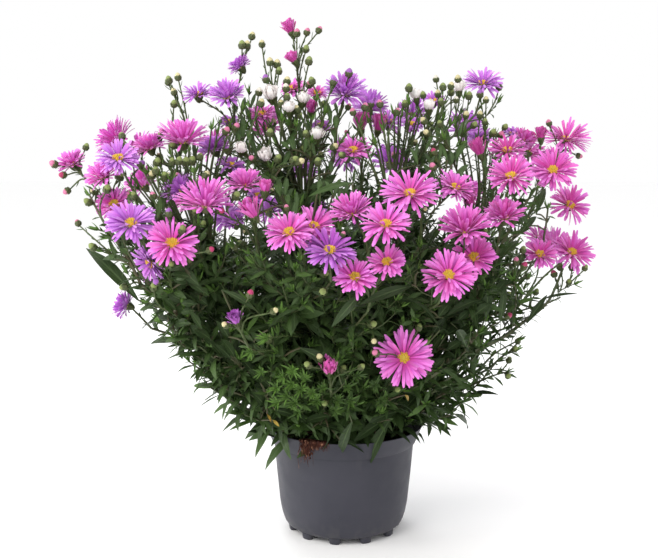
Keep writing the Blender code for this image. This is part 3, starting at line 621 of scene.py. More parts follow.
def smooth_route(points, steps):
    """Give a smooth curve through points, with a number of steps from each to the next."""
    points = np.array([tuple(point) for point in points])
    before = np.vstack([2 * points[:1] - points[1:2], points[:-1]])[:-1]
    after = np.vstack([points[2:], 2 * points[-1:] - points[-2:-1]])
    share = (np.arange(steps) / steps)[None, :, None]
    a, b, c, d = before[:, None], points[:-1, None], points[1:, None], after[:, None]
    curve = b + 0.5 * share * (c - a + share * (2 * a - 5 * b + 4 * c - d + share * (3 * (b - c) + d - a)))
    return np.vstack([curve.reshape(-1, 3), points[-1:]])


def frames_along(route):
    """Give the direction of a route at each point, and two directions square to it that don't twist."""
    forward = unit(np.gradient(route, axis=0))
    first = np.cross((0.0, 0.0, 1.0) if abs(forward[0, 2]) < 0.9 else (1.0, 0.0, 0.0), forward[0])
    firsts = []
    for direction in forward:
        first = unit(first - direction * (first @ direction))
        firsts.append(first)
    firsts = np.array(firsts)
    return forward, firsts, np.cross(forward, firsts)


def add_stalk(growth, finish, route, start_radius, end_radius, kind, sides=6):
    """Add a tapering stalk along a route."""
    forward, first, second = frames_along(route)
    radius = np.linspace(start_radius, end_radius, len(route))[:, None, None]
    rings = route[:, None] + fan(first[:, None], second[:, None], whole_turn(sides)) * radius
    values = np.abs(1 - 2 * np.arange(sides) / sides)
    share = np.linspace(0, 1, len(route))
    growth.add(rings[None], route[:1], route[-1:], finish, values, share, np.array([kind]))


def add_turned(growth, finish, middles, axes, size, profile, kinds, sides=8):
    """Add shapes turned round axes: the profile's rows give a height and a radius, in sizes."""
    axes = unit(np.atleast_2d(axes))
    middles = np.atleast_2d(middles)
    size = np.broadcast_to(np.asarray(size, float), len(axes))[:, None, None, None]
    level = np.where(np.abs(axes[:, 2:]) < 0.9, (0.0, 0.0, 1.0), (1.0, 0.0, 0.0))
    first = unit(np.cross(level, axes))
    second = np.cross(axes, first)
    circle = fan(first[:, None], second[:, None], whole_turn(sides))
    height, radius = np.array(profile).T
    rings = circle[:, None] * radius[1:-1, None, None] + axes[:, None, None] * height[1:-1, None, None]
    rings = middles[:, None, None] + rings * size
    start = middles + axes * height[0] * size[:, 0, 0]
    end = middles + axes * height[-1] * size[:, 0, 0]
    share = (height[1:-1] - height[0]) / (height[-1] - height[0])
    growth.add(rings, start, end, finish, np.abs(1 - 2 * np.arange(sides) / sides), share, kinds)


print("stalks and turned shapes are ready")

# %% [markdown]
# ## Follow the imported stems
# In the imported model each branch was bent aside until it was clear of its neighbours. Its corners are
# still in the mesh, so the same candidates are laid again, and the one whose corners are there is the
# real route. Leaves and buds are found in the same way, by their tips.

# %% Find each branch
FOUND_WITHIN = 0.06
STEM_RADIUS = 2.3
BRANCH_RADIUS = 1.15
BRANCH_TRIES = 30
STALK_SIDES = 3


def corner_tree(name):
    """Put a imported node's corners, in millimetres, in a search tree."""
    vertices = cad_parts[name].data.vertices
    tree = KDTree(len(vertices))
    for number, vertex in enumerate(vertices):
        tree.insert(vertex.co / METRES, number)
    tree.balance()
    return tree


def is_corner(tree, point):
    """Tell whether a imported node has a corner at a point."""
    return tree.find(point)[2] < FOUND_WITHIN


def find_branch(stem, truss, share):
    """Give the route of a stem's branch to a truss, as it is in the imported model."""
    best = (-1, None)
    for attempt in range(BRANCH_TRIES):
        route = branch_route(stem, truss, share, attempt)
        score = 0
        for number in (1, 2):
            radius = BRANCH_RADIUS * (0.85 + 0.05 * number)
            near = stem.tree.find_n(route[number], STALK_SIDES)
            score += sum(abs(distance - radius) < FOUND_WITHIN for corner, index, distance in near)
        if score > best[0]:
            best = (score, route)
        if score == 2 * STALK_SIDES:
            break
    return best


faint = 0
for stem in stems:
    stem.tree = corner_tree(stem.name)
    stem.carriers = [(stem.route()[1:], STEM_RADIUS)]
    for truss, share in stem.trusses:
        score, route = find_branch(stem, truss, share)
        stem.carriers.append((route, BRANCH_RADIUS))
        faint += score < STALK_SIDES
print("branches:", sum(len(stem.carriers) - 1 for stem in stems), "of which not surely found:", faint)

# %% [markdown]
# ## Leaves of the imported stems
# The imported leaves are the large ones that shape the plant. Their fine versions start at the same root
# and end at the same tip, with a lance-shaped outline, a fold along the midrib and a drooping end.

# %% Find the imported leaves
LEAF_SPACING = 17.0
LEAF_LENGTH = 50.0
LEAF_WIDTH = 9.0
BRANCH_LEAF_LENGTH = 22.0
BRANCH_LEAF_WIDTH = 2.6
LEAF_TRIES = 5
LEAF_TRY_TURN = 1.3


def leaf_size(order, share, draw):
    """Give the length and width of a leaf at a share of its carrier; order 0 is the main stem."""
    if order == 0:
        length = LEAF_LENGTH * (1.0 - 0.45 * share) * draw.uniform(0.85, 1.15)
        return length, LEAF_WIDTH * length / LEAF_LENGTH
    length = BRANCH_LEAF_LENGTH * (1.0 - 0.5 * share) * draw.uniform(0.8, 1.2)
    return length, max(0.16 * length, BRANCH_LEAF_WIDTH)


def route_length(route):
    """Measure a route."""
    return sum((end - start).length for start, end in zip(route, route[1:]))


def packed_leaves(stem):
    """List the leaves of a packed stem: root, heading, tip, side direction, width and age."""
    draw = random.Random(100 + stem.number)
    found = []
    for order, (route, radius) in enumerate(stem.carriers):
        total = route_length(route)
        distance = 16.0 if order == 0 else 12.0
        turn = draw.uniform(0, 2 * math.pi)
        while distance < total - 5.0:
            middle, direction = point_along(route, distance)
            length, width = leaf_size(order, distance / total, draw)
            lean = draw.uniform(0.45, 0.9)
            droop = draw.uniform(0.1, 0.35) * length
            first, second = across(direction)
            for attempt in range(LEAF_TRIES):
                angle = turn + attempt * LEAF_TRY_TURN
                outward = first * math.cos(angle) + second * math.sin(angle)
                heading = (outward + direction * lean).normalized()
                root = middle - heading * (0.15 * radius)
                tip = root + heading * length - UP * droop
                if is_corner(stem.tree, tip):
                    side = direction.cross(outward).normalized()
                    found.append((root, heading, tip, side, width, 0.25 * (order > 0)))
                    break
            turn += GOLDEN_ANGLE
            distance += LEAF_SPACING * (1.0 if order == 0 else 1.25)
    return found


for stem in stems:
    stem.leaves = packed_leaves(stem)
print("packed leaves found:", sum(len(stem.leaves) for stem in stems))

# %% [markdown]
# ## Twigs
# Everything green hangs on a twig: a main stem, a branch to a truss, or a short leafy side shoot. A twig
# keeps its smooth route and tells where and which way a leaf grows at any distance along it.

# %% Twigs
EDGE_MARGIN = 1.01
STEM_TAPER = 0.62
STALK_RADIUS = 0.85
TURN = 6.28


def golden_turns(draw, count):
    """Give turns that follow each other at the golden angle, from a drawn one on."""
    return draw.uniform(0, TURN) + np.arange(count) * GOLDEN_ANGLE


class Twig:
    """A stem, branch, shoot or stalk: its smooth route, radii and age, from 0, old, to 1, young."""

    def __init__(self, points, steps, start_radius, end_radius, age, leaves=None):
        self.route = smooth_route(points, steps)
        self.leaves = leaves
        self.radii = (start_radius, end_radius)
        self.age = age
        self.margin = EDGE_MARGIN
        gaps = np.linalg.norm(np.diff(self.route, axis=0), axis=1)
        self.marks = np.concatenate([[0.0], np.cumsum(gaps)])
        self.length = self.marks[-1]
        self.axes = (self.route,) + frames_along(self.route)

    def at(self, distances):
        """Give the point, direction and two side directions at each of several distances."""
        return [np.stack([np.interp(distances, self.marks, rows[:, axis]) for axis in range(3)], -1)
                for rows in self.axes]

    def outward(self, distances, turns):
        """Give the points, the directions, and the way out at a turn round the twig."""
        points, forward, first, second = self.at(distances)
        return points, forward, fan(first, second, turns)

    def nodes(self, draw, start, short, spacing, loose):
        """Space places along the twig: their distances, points, directions and ways out."""
        distances = np.arange(start, self.length - short, spacing)
        distances = distances + draw.uniform(-loose, loose, len(distances)) * spacing
        return distances, *self.outward(distances, golden_turns(draw, len(distances)))


for stem in stems:
    main = Twig(stem.route(), 6, STEM_RADIUS, STEM_RADIUS * STEM_TAPER, 0.1)
    stem.twigs = [main]
    for route, radius in stem.carriers[1:]:
        stem.twigs.append(Twig(route, 5, radius, radius * 0.8, 0.4))
    for truss, share in stem.trusses:
        truss.twigs = []
        for number, route in enumerate(truss.routes()):
            thickness = STALK_RADIUS * (1.25 if number == 0 else 0.7)
            truss.twigs.append(Twig(route, 6, thickness, STALK_RADIUS * 0.8, 0.6))
print("twigs:", sum(len(stem.twigs) for stem in stems))

# %% [markdown]
# ## Room for leaves
# A leaf mustn't stand in a bloom, in front of one as the viewer sees it, in the soil or in the pot's
# wall. Each test is a distance, so it runs on all leaves at once.

# %% Room for leaves
BLOOM_SHARE = 0.75
WALL_RING = (60.0, 74.0)
WALL_TOP = 97.5
PEAT_TOP = 86.5
eye = np.array(EYE)
all_blooms = [bloom for truss in trusses for bloom in truss.blooms]
bloom_middles = np.array([tuple(bloom.middle) for bloom in all_blooms])
bloom_reaches = np.array([bloom.reach for bloom in all_blooms])
bloom_distances = np.linalg.norm(bloom_middles - eye, axis=1)
bloom_sights = unit(bloom_middles - eye)


def has_room(points, hiding=0.9):
    """Tell which points are clear of the blooms, of the view of them, and of the soil and pot."""
    offset = points[:, None] - bloom_middles
    clear = (np.linalg.norm(offset, axis=-1) > BLOOM_SHARE * bloom_reaches).all(1)
    depth = ((points - eye)[:, None] * bloom_sights).sum(-1)
    aside = np.linalg.norm((points - eye)[:, None] - depth[..., None] * bloom_sights, axis=-1)
    hides = (depth < bloom_distances) & (aside < hiding * bloom_reaches * depth / bloom_distances)
    radius = np.hypot(points[:, 0], points[:, 1])
    in_wall = (radius > WALL_RING[0]) & (radius < WALL_RING[1]) & (points[:, 2] < WALL_TOP)
    in_peat = (radius <= WALL_RING[0]) & (points[:, 2] < PEAT_TOP)
    return clear & ~hides.any(1) & ~in_wall & ~in_peat


print("blooms to keep clear:", len(all_blooms))

# %% [markdown]
# ## Side shoots
# The body of the plant is filled by side shoots in the angles of the leaves. Each starts outward, curves
# up to the light, and ends inside the crown's surface.

# %% Grow side shoots
SHOOT_SPACING = 10.0
SHOOT_LENGTH = (42.0, 98.0)
SHOOT_REACH = 0.97
SMALL_SHOOT_LENGTH = (18.0, 42.0)


def grow_shoots(twig, draw, spacing, lengths, first_at, radius):
    """Grow shoots from a twig where there is room for them."""
    distances, points, forward, outward = twig.nodes(draw, first_at, 6.0, spacing, 0.3)
    shoots = []
    for start, ahead, out in zip(points, forward, outward):
        out = unit(out + 0.5 * unit(start * (1, 1, 0) + 0.001))
        length = draw.uniform(*lengths)
        heading = unit(out * draw.uniform(0.7, 1.1) + ahead * 0.7)
        middle = start + heading * 0.5 * length
        end = middle + unit(heading + (0, 0, draw.uniform(0.3, 0.9))) * 0.5 * length
        path = np.array([start, middle, end])
        if crown_ratio(Vector(end)) < SHOOT_REACH and has_room(path[1:], 0.7).all():
            shoots.append(Twig(path, 3, radius, radius * 0.5, 0.55))
            shoots[-1].margin = twig.margin
    return shoots


for stem in stems:
    draw = np.random.default_rng(300 + stem.number)
    stem.shoots = grow_shoots(stem.twigs[0], draw, SHOOT_SPACING, SHOOT_LENGTH, 25.0, 0.95)
    for twig in stem.twigs[1:]:
        stem.shoots += grow_shoots(twig, draw, SHOOT_SPACING * 1.4, SMALL_SHOOT_LENGTH, 12.0, 0.7)
    for shoot in list(stem.shoots):
        stem.shoots += grow_shoots(shoot, draw, SHOOT_SPACING * 2.2, SMALL_SHOOT_LENGTH, 14.0, 0.6)
print("side shoots:", sum(len(stem.shoots) for stem in stems))

# %% [markdown]
# ## Shoots at the outline
# The picture shows where the outermost shoots reach. Each one starts at the place on a stem from which
# the way out is shortest and rises a little, so it sits on what carries it from any side. A row gives
# its thickness, the length of its leaves, and the pixels that it passes.

# %% Shoots in the picture
OUTLINE_SHOOTS = (
    (1.7, 6, ((428, 378), (457, 358), (478, 350), (505, 336), (526, 320), (542, 308), (552, 295),
              (563, 268))),
    (1.2, 10, ((440, 388), (460, 380), (478, 370), (494, 354), (517, 341))),
    (1.0, 9, ((474, 376), (490, 367), (503, 356), (515, 351))),
    (1.2, 11, ((432, 404), (456, 393), (474, 384), (492, 376), (507, 372))),
    (1.0, 13, ((446, 398), (462, 396), (478, 384), (498, 360))),
    (0.8, 15, ((424, 410), (442, 408), (458, 404), (472, 396))),
    (0.9, 15, ((430, 372), (448, 366), (464, 352), (478, 334))),
    (0.9, 15, ((434, 386), (452, 376), (470, 362), (482, 346))),
    (0.9, 15, ((436, 398), (452, 390), (466, 380), (476, 366))),
    (0.8, 14, ((424, 420), (440, 418), (454, 410), (464, 400))),
    (0.8, 12, ((500, 338), (512, 320), (516, 300), (514, 280))),
    (0.8, 8, ((524, 322), (529, 306), (531, 294))), (0.7, 6, ((548, 303), (558, 292), (574, 284))),
    (1.6, 15, ((468, 304), (486, 272), (504, 240), (520, 212), (536, 188))),
    (1.2, 15, ((484, 300), (494, 264), (500, 232), (506, 200))),
    (1.0, 10, ((534, 262), (544, 236), (548, 208))),
    (1.2, 12, ((152, 292), (128, 258), (106, 226), (90, 196))),
    (0.9, 10, ((142, 262), (138, 220), (133, 158))), (0.9, 11, ((162, 240), (160, 208), (158, 176))),
    (0.9, 11, ((196, 244), (194, 204), (194, 174))),
    (1.0, 13, ((196, 330), (172, 306), (150, 286), (134, 264), (122, 238))),
    (0.9, 18, ((214, 346), (194, 326), (170, 312), (148, 302))),
    (0.9, 18, ((224, 362), (202, 348), (180, 334), (160, 322))),
    (0.9, 18, ((232, 378), (212, 366), (192, 352), (174, 338))),
    (0.9, 20, ((240, 394), (222, 386), (206, 374), (190, 362))),
    (0.9, 20, ((250, 410), (238, 404), (224, 396), (208, 386))),
    (0.9, 20, ((270, 424), (258, 420), (244, 414))), (0.8, 14, ((300, 412), (298, 402))),
    (0.8, 14, ((346, 414), (350, 404))), (0.8, 14, ((384, 408), (386, 396))),
    (0.8, 16, ((416, 412), (426, 404))), (0.8, 14, ((272, 402), (268, 392))))
UPRIGHT_TIPS = ((100, 226), (140, 176), (175, 150), (205, 118), (232, 104), (280, 92), (325, 98),
                (345, 116), (375, 118), (410, 102), (445, 106), (480, 118), (505, 140))
print("outline shoots:", len(OUTLINE_SHOOTS))

# %% [markdown]
# At the top of the foliage thin upright shoots end between the blooms, below a line through the tips
# that the picture shows.

# %% Grow the outline's shoots
SHOOT_RISE = 34.0
OUTLINE_MARGIN = 1.9
UPRIGHT_SHOOTS = 88
UPRIGHT_RISE = 85.0


class Perches:
    """All places on twigs where a shoot or the stalk of a bud may start."""

    def __init__(self, owned):
        """Take pairs of a stem and one of its twigs."""
        self.rows = []
        self.owners = []
        for stem, twig in owned:
            points, forward, *rest = twig.at(np.arange(4.0, twig.length - 9.0, 3.0))
            self.rows.append(np.hstack([points, forward]))
            self.owners += [stem] * len(points)
        self.rows = np.vstack(self.rows)

    def best(self, middle, rise):
        """Find the start, its direction and its stem for a stalk that should rise to a point."""
        offset = middle - self.rows[:, :3]
        low = np.maximum(rise - offset[:, 2], 0.0)
        flat = np.linalg.norm(offset[:, :2], axis=1)
        number = np.argmin(np.linalg.norm(offset, axis=1) + 1.4 * low + 0.7 * flat)
        return self.rows[number, :3], self.rows[number, 3:], self.owners[number]


draw = np.random.default_rng(19)
stem_perches = Perches([(stem, stem.twigs[0]) for stem in stems])
for radius, leaf, pixels in OUTLINE_SHOOTS:
    backs = np.linspace(26, draw.uniform(0, 6), len(pixels))
    points = [np.array(place_by_sight(x, y, back)) for (x, y), back in zip(pixels, backs)]
    start, direction, stem = stem_perches.best(points[0], SHOOT_RISE)
    shoot = Twig([start] + points, 3, 1.3 * radius, 0.7 * radius, 0.4, (leaf * 1.7, leaf))
    shoot.margin = OUTLINE_MARGIN
    stem.shoots.append(shoot)
    stem.shoots += grow_shoots(shoot, draw, SHOOT_SPACING * 1.6, SMALL_SHOOT_LENGTH, 12.0, 0.6)
left, right = UPRIGHT_TIPS[0][0], UPRIGHT_TIPS[-1][0]
for x in np.linspace(left, right, UPRIGHT_SHOOTS) + draw.uniform(-4, 4, UPRIGHT_SHOOTS):
    y = interpolate(UPRIGHT_TIPS, x, 1) + draw.uniform(2, 34)
    end = np.array(place_by_sight(x, y, draw.uniform(4, 60)))
    start, direction, stem = stem_perches.best(end, UPRIGHT_RISE)
    middle = 0.5 * (start + end) + direction * 8.0
    if crown_ratio(Vector(end)) < 1.0:
        stem.shoots.append(Twig([start, middle, end], 4, 1.0, 0.6, 0.5, (18, 9)))
print("all side shoots:", sum(len(stem.shoots) for stem in stems))

# %% [markdown]
# ## Leaves
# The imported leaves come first. Then leaves are set along every twig at the golden angle, which is how an
# aster spaces them, long below and short above, and a shoot ends in a tuft of bright young ones.

# %% Leaves along a twig
LEAF, TWIG, SCALE, TIP, RAY, FLORET, PLASTIC, PEAT, FIBRE, FADED = range(10)
LEAF_HEIGHTS = (120.0, 220.0, 380.0)
LEAF_SIZES = (1.12, 1.0, 0.6)


def add_twig(growth, twig, draw, sides):
    """Add a twig's bark, in a kind near its age."""
    add_stalk(growth, TWIG, twig.route, *twig.radii, mix_kinds(draw, 1, twig.age)[0], sides)


def add_packed_leaves(growth, stem, draw):
    """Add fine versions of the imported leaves, each bent so that its tip stays where it was."""
    roots, headings, tips, sides, widths, ages = (np.array(column) for column in zip(*stem.leaves))
    chord = tips - roots
    length = np.linalg.norm(chord, axis=1)
    upper = np.cross(sides, headings)
    facing = np.sign((upper * (0, 0, 1)).sum(1, keepdims=True) + 1e-6)
    sides = sides * facing
    bend = 1.6 * np.arccos(np.clip((unit(chord) * headings).sum(1), -1, 1))
    kinds = mix_kinds(draw, len(roots), 0.12 + ages)
    add_blades(growth, LEAF, roots, headings, sides, length * 1.03, widths * 1.15, LEAF_OUTLINE, kinds,
               bend, draw.uniform(-0.5, 0.5, len(roots)), 0.28, 0.4, 8)


def add_leaves(growth, twig, draw, spacing, lengths, slimness, first_at, age):
    """Set leaves along a twig; lengths and slimness (length over width) run from its start to its end."""
    distances, points, forward, outward = twig.nodes(draw, first_at, 1.0, spacing, 0.25)
    share = distances / twig.length
    length = np.interp(share, (0, 1), lengths) * draw.uniform(0.7, 1.2, len(share))
    length = length * np.interp(points[:, 2], LEAF_HEIGHTS, LEAF_SIZES)
    width = length / np.interp(share, (0, 1), slimness)
    heading = unit(outward + forward * draw.uniform(0.35, 1.1, (len(share), 1)))
    middles = points + heading * 0.55 * length[:, None]
    tips = points + heading * 0.95 * length[:, None]
    inside = np.array([crown_ratio(Vector(tip)) < twig.margin for tip in tips], bool)
    keep = has_room(middles) & has_room(tips) & inside
    count = keep.sum()
    if count == 0:
        return 0
    side = np.cross(forward, outward)[keep]
    heading = heading[keep]
    side = side * np.sign(np.cross(side, heading)[:, 2:] + 1e-6)
    ages = mix_kinds(draw, count, age + 0.25 * share[keep])
    add_blades(growth, LEAF, points[keep], heading, side, length[keep], width[keep], SMALL_LEAF_OUTLINE,
               ages, draw.uniform(0.1, 1.0, count), draw.uniform(-0.6, 0.6, count), 0.3, 0.3, 3)
    return count


def add_tuft(growth, twig, draw, count, age, spread=0.6, slimness=5.0):
    """End a shoot in a tuft of narrow bright leaves."""
    end, ahead, first, second = (rows[-1] for rows in twig.axes)
    outward = fan(first, second, golden_turns(draw, count))
    heading = unit(outward * draw.uniform(0.4 * spread, 1.65 * spread, (count, 1)) + ahead)
    length = draw.uniform(4.5, 11.0, count)
    add_blades(growth, LEAF, np.tile(end, (count, 1)), heading, np.cross(ahead, outward), length,
               length / slimness, BRACT_OUTLINE, mix_kinds(draw, count, age, 0.12),
               draw.uniform(0.0, 0.6, count), 0.0, 0.3, 0.3, 3)


print("sizes of leaves from low to high:", LEAF_SIZES)

# %% [markdown]
# Deep inside the crown little is seen of a leaf, so the low inner shoots bear fewer and have no tufts.

# %% Grow leaves
TUFT_LEAVES = 6
INNER_SHARE = 0.6
DEEP_BELOW = 290.0
THIN_SHOOT = 0.65
count = 0
for stem in stems:
    draw = np.random.default_rng(400 + stem.number)
    stem.foliage = Growth("stem_{:02d}_foliage".format(stem.number))
    add_packed_leaves(stem.foliage, stem, draw)
    for number, twig in enumerate(stem.twigs + stem.shoots):
        sides = 7 if number == 0 else 4 if twig.radii[0] > THIN_SHOOT else 3
        add_twig(stem.foliage, twig, draw, sides)
    count += add_leaves(stem.foliage, stem.twigs[0], draw, 4.5, (46, 28), (4.6, 5.0), 30.0, 0.1)
    for twig in stem.twigs[1:]:
        count += add_leaves(stem.foliage, twig, draw, 5.0, (26, 10), (4.6, 4.6), 5.0, 0.3)
    for twig in stem.shoots:
        lengths = twig.leaves or (0.42 * twig.length + 8, 10)
        inside = crown_ratio(Vector(twig.route[-1])) < INNER_SHARE
        deep = inside and twig.route[-1, 2] < DEEP_BELOW
        spacing = 6.6 if deep else 4.1 if twig.leaves else 5.4
        slimness = (4.0, 4.3) if twig.leaves else (3.5, 3.9)
        count += add_leaves(stem.foliage, twig, draw, spacing, lengths, slimness, 4.0, 0.35)
        if not deep:
            add_tuft(stem.foliage, twig, draw, TUFT_LEAVES // 2 if inside else TUFT_LEAVES, 0.85)
print("leaves besides the packed ones:", count)

# %% [markdown]
# ## Leaves over the rim
# The oldest leaves are broad and dark, their green darkened further as painted shade low in the plant.
# They start low on the stems, and some arch over the rim and hang down outside it. The picture shows
# those at the front, and the others follow round the pot by a rule.

# %% Low leaves
RIM_ROOT = 52.0
RIM_LEAVES = ((185, 30, 7, 0.6, -0.3), (200, 24, 6, 0.4, 0.3), (218, 24, 6, 0.9, -0.5),
              (306, 32, 8, 1.2, 0.5), (325, 38, 8, 1.2, -0.4), (345, 36, 8, 0.8, 0.3))
BACK_RIM_LEAVES = 12
BACK_RIM_START = -12
BACK_RIM_SWEEP = 204
LOW_LEAVES = 44
LOW_NECK = 26.0


def add_low_leaf(row, reach, draw):
    """Add a leaf that starts low, at a reach from the axis: azimuth, length, width, bend and slant."""
    azimuth, length, width, bend, slant = row
    outward = np.array((math.cos(math.radians(azimuth)), math.sin(math.radians(azimuth)), 0.0))
    sideways = np.array((-outward[1], outward[0], 0.0))
    stem = min(stems, key=lambda stem: (stem.foot - Vector(outward * reach)).xy.length)
    root = outward * reach + (0, 0, draw.uniform(97, 103) + 0.3 * (RIM_ROOT - reach))
    neck = stem.twigs[0].at([LOW_NECK])[0][0]
    stalk = Twig([neck, 0.5 * (neck + root) + (0, 0, 3), root], 3, 0.9, 0.7, 0.2)
    add_twig(stem.foliage, stalk, draw, 5)
    heading = outward + sideways * slant + (0, 0, 0.42)
    add_blades(stem.foliage, LEAF, root[None], heading, -sideways, length, width, LEAF_OUTLINE,
               mix_kinds(draw, 1, 0.06), bend, draw.uniform(-0.3, 0.3), 0.22, 0.45, 8)


draw = np.random.default_rng(17)
for row in RIM_LEAVES:
    add_low_leaf(row, RIM_ROOT, draw)
for number in range(BACK_RIM_LEAVES):
    azimuth = BACK_RIM_SWEEP * number / BACK_RIM_LEAVES + BACK_RIM_START
    length, width, bend, slant = draw.uniform((34, 8, 0.8, -0.6), (52, 10, 2.2, 0.6))
    share = 0.55 + 0.45 * math.sin(math.radians(azimuth))
    add_low_leaf((azimuth, length * share, width, bend * share, slant), RIM_ROOT, draw)
for number in range(LOW_LEAVES):
    row = (math.degrees(number * GOLDEN_ANGLE), *draw.uniform((24, 6, 0.2, -1.2), (36, 9, 1.0, 1.2)))
    add_low_leaf(row, draw.uniform(16, 40), draw)
print("low leaves:", len(RIM_LEAVES) + BACK_RIM_LEAVES + LOW_LEAVES)

# %% [markdown]
# ## Leaves that stand out
# Some long leaves catch the eye because they cross a bloom, shine pale, or stick out of the outline.
# Each is given by the pixels of its root and its tip, its width, and how far root and tip are set back.

# %% Leaves that stand out
BOLD_LEAVES = (
    (138, 300, 78, 249, 11, 16, 0), (128, 262, 97, 262, 7, 22, 6), (249, 399, 199, 390, 10, 24, 4),
    (276, 438, 250, 432, 7, 22, 6), (282, 430, 252, 424, 7, 22, 6), (412, 286, 368, 311, 8, 6, -10),
    (418, 272, 452, 291, 5, -14, -16), (352, 183, 318, 201, 5, 10, -4), (540, 300, 577, 296, 3, 8, 0),
    (470, 394, 493, 398, 5, 20, 2), (454, 414, 476, 437, 8, 24, 6), (430, 423, 449, 432, 6, 24, 6),
    (478, 330, 462, 296, 8, 6, -2), (468, 352, 452, 326, 8, 6, -2), (486, 318, 490, 286, 8, 8, 0),
    (500, 322, 508, 292, 6, 8, 0), (470, 372, 482, 346, 7, 10, 2), (456, 384, 446, 358, 8, 8, 0),
    (362, 292, 338, 330, 7, 8, -8), (268, 330, 290, 310, 7, 8, -6), (440, 330, 418, 300, 6, 6, -8),
    (300, 348, 330, 372, 9, 10, -4), (480, 300, 452, 318, 7, 6, -8), (222, 290, 252, 312, 6, 8, -6),
    (320, 425, 352, 440, 8, 10, -6), (385, 420, 356, 446, 9, 10, -6), (168, 306, 137, 315, 8, 16, 0),
    (176, 320, 136, 332, 11, 18, 2), (180, 342, 146, 347, 8, 18, 2), (512, 324, 517, 290, 7, 8, 0),
    (527, 323, 550, 297, 6, 4, -2), (275, 410, 297, 420, 7, 4, -6), (312, 428, 292, 414, 7, 4, -6),
    (330, 416, 304, 426, 8, 6, -4), (398, 404, 414, 414, 6, 2, -8), (396, 412, 372, 426, 8, 6, -4),
    (328, 427, 331, 460, 5, 2, 0), (352, 422, 337, 468, 9, 0, 0), (340, 440, 370, 458, 6, 0, 0),
    (390, 420, 366, 472, 11, 0, 0), (536, 214, 548, 186, 6, 14, 10), (528, 226, 514, 198, 6, 16, 14),
    (520, 234, 540, 216, 6, 14, 12), (508, 248, 496, 222, 7, 16, 14), (502, 256, 522, 240, 7, 14, 10),
    (494, 270, 506, 242, 7, 14, 12), (512, 266, 532, 254, 6, 14, 12), (506, 286, 524, 270, 7, 12, 8),
    (492, 298, 510, 280, 7, 12, 8), (452, 170, 443, 146, 6, 20, 18), (456, 160, 468, 138, 6, 20, 18),
    (450, 148, 441, 122, 5, 20, 20), (458, 138, 469, 116, 5, 22, 22), (454, 184, 470, 162, 6, 20, 18),
)
BOLD_AGES = ((180.0, 310.0), (0.1, 0.5))
FADED_LEAVES = (
    (267, 414, 271, 422, 2.5, 2, -8), (273, 420, 278, 427, 2.5, 2, -8),
    (405, 395, 410, 403, 3.5, 0, -8),
)
print("leaves that stand out:", len(BOLD_LEAVES), "and faded ones:", len(FADED_LEAVES))

# %% [markdown]
# More leaves are drawn by chance, and only those that hide no bloom are kept. Broad ones fill the
# outline at the left and right, and slim ones its top and the thickets behind the upper blooms.

# %% Place the leaves that stand out
LEAF_RISE = 6.0
FILLS = 300
EDGES = ((262, 130, 512), (290, 146, 504), (320, 156, 492), (350, 176, 476), (380, 200, 462),
         (412, 240, 438))
TOP_FILL = (110, 505)
THICKETS = (((246, 345), (142, 228)), ((246, 345), (142, 228)), ((425, 476), (128, 204)),
            ((236, 338), (106, 148)))
THICKET_LEAVES = 160
LONG_SHOOT = 30.0


def add_bold_leaf(growth, finish, row, draw, sides=8):
    """Add a leaf between two pixels, with its upper face to the viewer and a stalk from the plant."""
    root_x, root_y, tip_x, tip_y, width, root_back, tip_back = row
    tip = np.array(place_by_sight(tip_x, tip_y, tip_back))
    root = np.array(place_by_sight(root_x, root_y, root_back))
    start, direction, stem = perches.best(root, LEAF_RISE)
    length = np.linalg.norm(tip - root)
    heading = unit(unit(tip - root) + (0, 0, 0.25))
    side = np.cross(heading, unit(eye - root) + (0, 0, 0.7) + draw.normal(0, 0.2, 3))
    age = 0.7 if finish == FADED else np.interp(tip[2], *BOLD_AGES)
    stalk = Twig([start, 0.5 * (start + root) + direction * 2, root], 3, 0.8, 0.6, 0.3)
    add_twig(stem.foliage, stalk, draw, 4)
    add_blades(growth or stem.foliage, finish, root[None], heading, side, 1.04 * length, width,
               LEAF_OUTLINE, mix_kinds(draw, 1, age), 0.6, draw.uniform(-0.4, 0.4), 0.25, 0.4, sides)


def draw_row(number, draw):
    """Draw the row of a broad leaf by the foliage's left or right edge, or of a slim one at its top."""
    back = draw.uniform(4, 36)
    if number % 3 == 0:
        x = draw.uniform(*TOP_FILL)
        y = interpolate(UPRIGHT_TIPS, x, 1) + draw.uniform(20, 64)
        tip = (x + draw.uniform(-12, 12), y - draw.uniform(16, 28))
        return x, y, *tip, draw.uniform(2.8, 4.2), back, back
    y = draw.uniform(EDGES[0][0], EDGES[-1][0])
    outward = 1 if number % 2 else -1
    x = interpolate(EDGES, y, 2 if outward == 1 else 1) - outward * draw.uniform(14, 62)
    tip = (x + outward * draw.uniform(8, 22), y + draw.uniform(-18, 10))
    return x, y, *tip, draw.uniform(5.5, 8.0), back, back - 6


def draw_thicket_row(number, draw):
    """Draw the row of a slim upright leaf in one of the thickets behind the upper blooms."""
    columns, rows = THICKETS[number % len(THICKETS)]
    x, y, back = draw.uniform(*columns), draw.uniform(*rows), draw.uniform(8, 40)
    tip = (x + draw.uniform(-11, 11), y - draw.uniform(12, 22))
    return x, y, *tip, draw.uniform(3.0, 4.4), back, back


def shows_blooms(row):
    """Tell whether the leaf of a row is clear of the blooms and of the view of them."""
    ends = np.array([place_by_sight(row[0], row[1], row[5]), place_by_sight(row[2], row[3], row[6])])
    return has_room(np.vstack([ends, ends.mean(0)])).all()


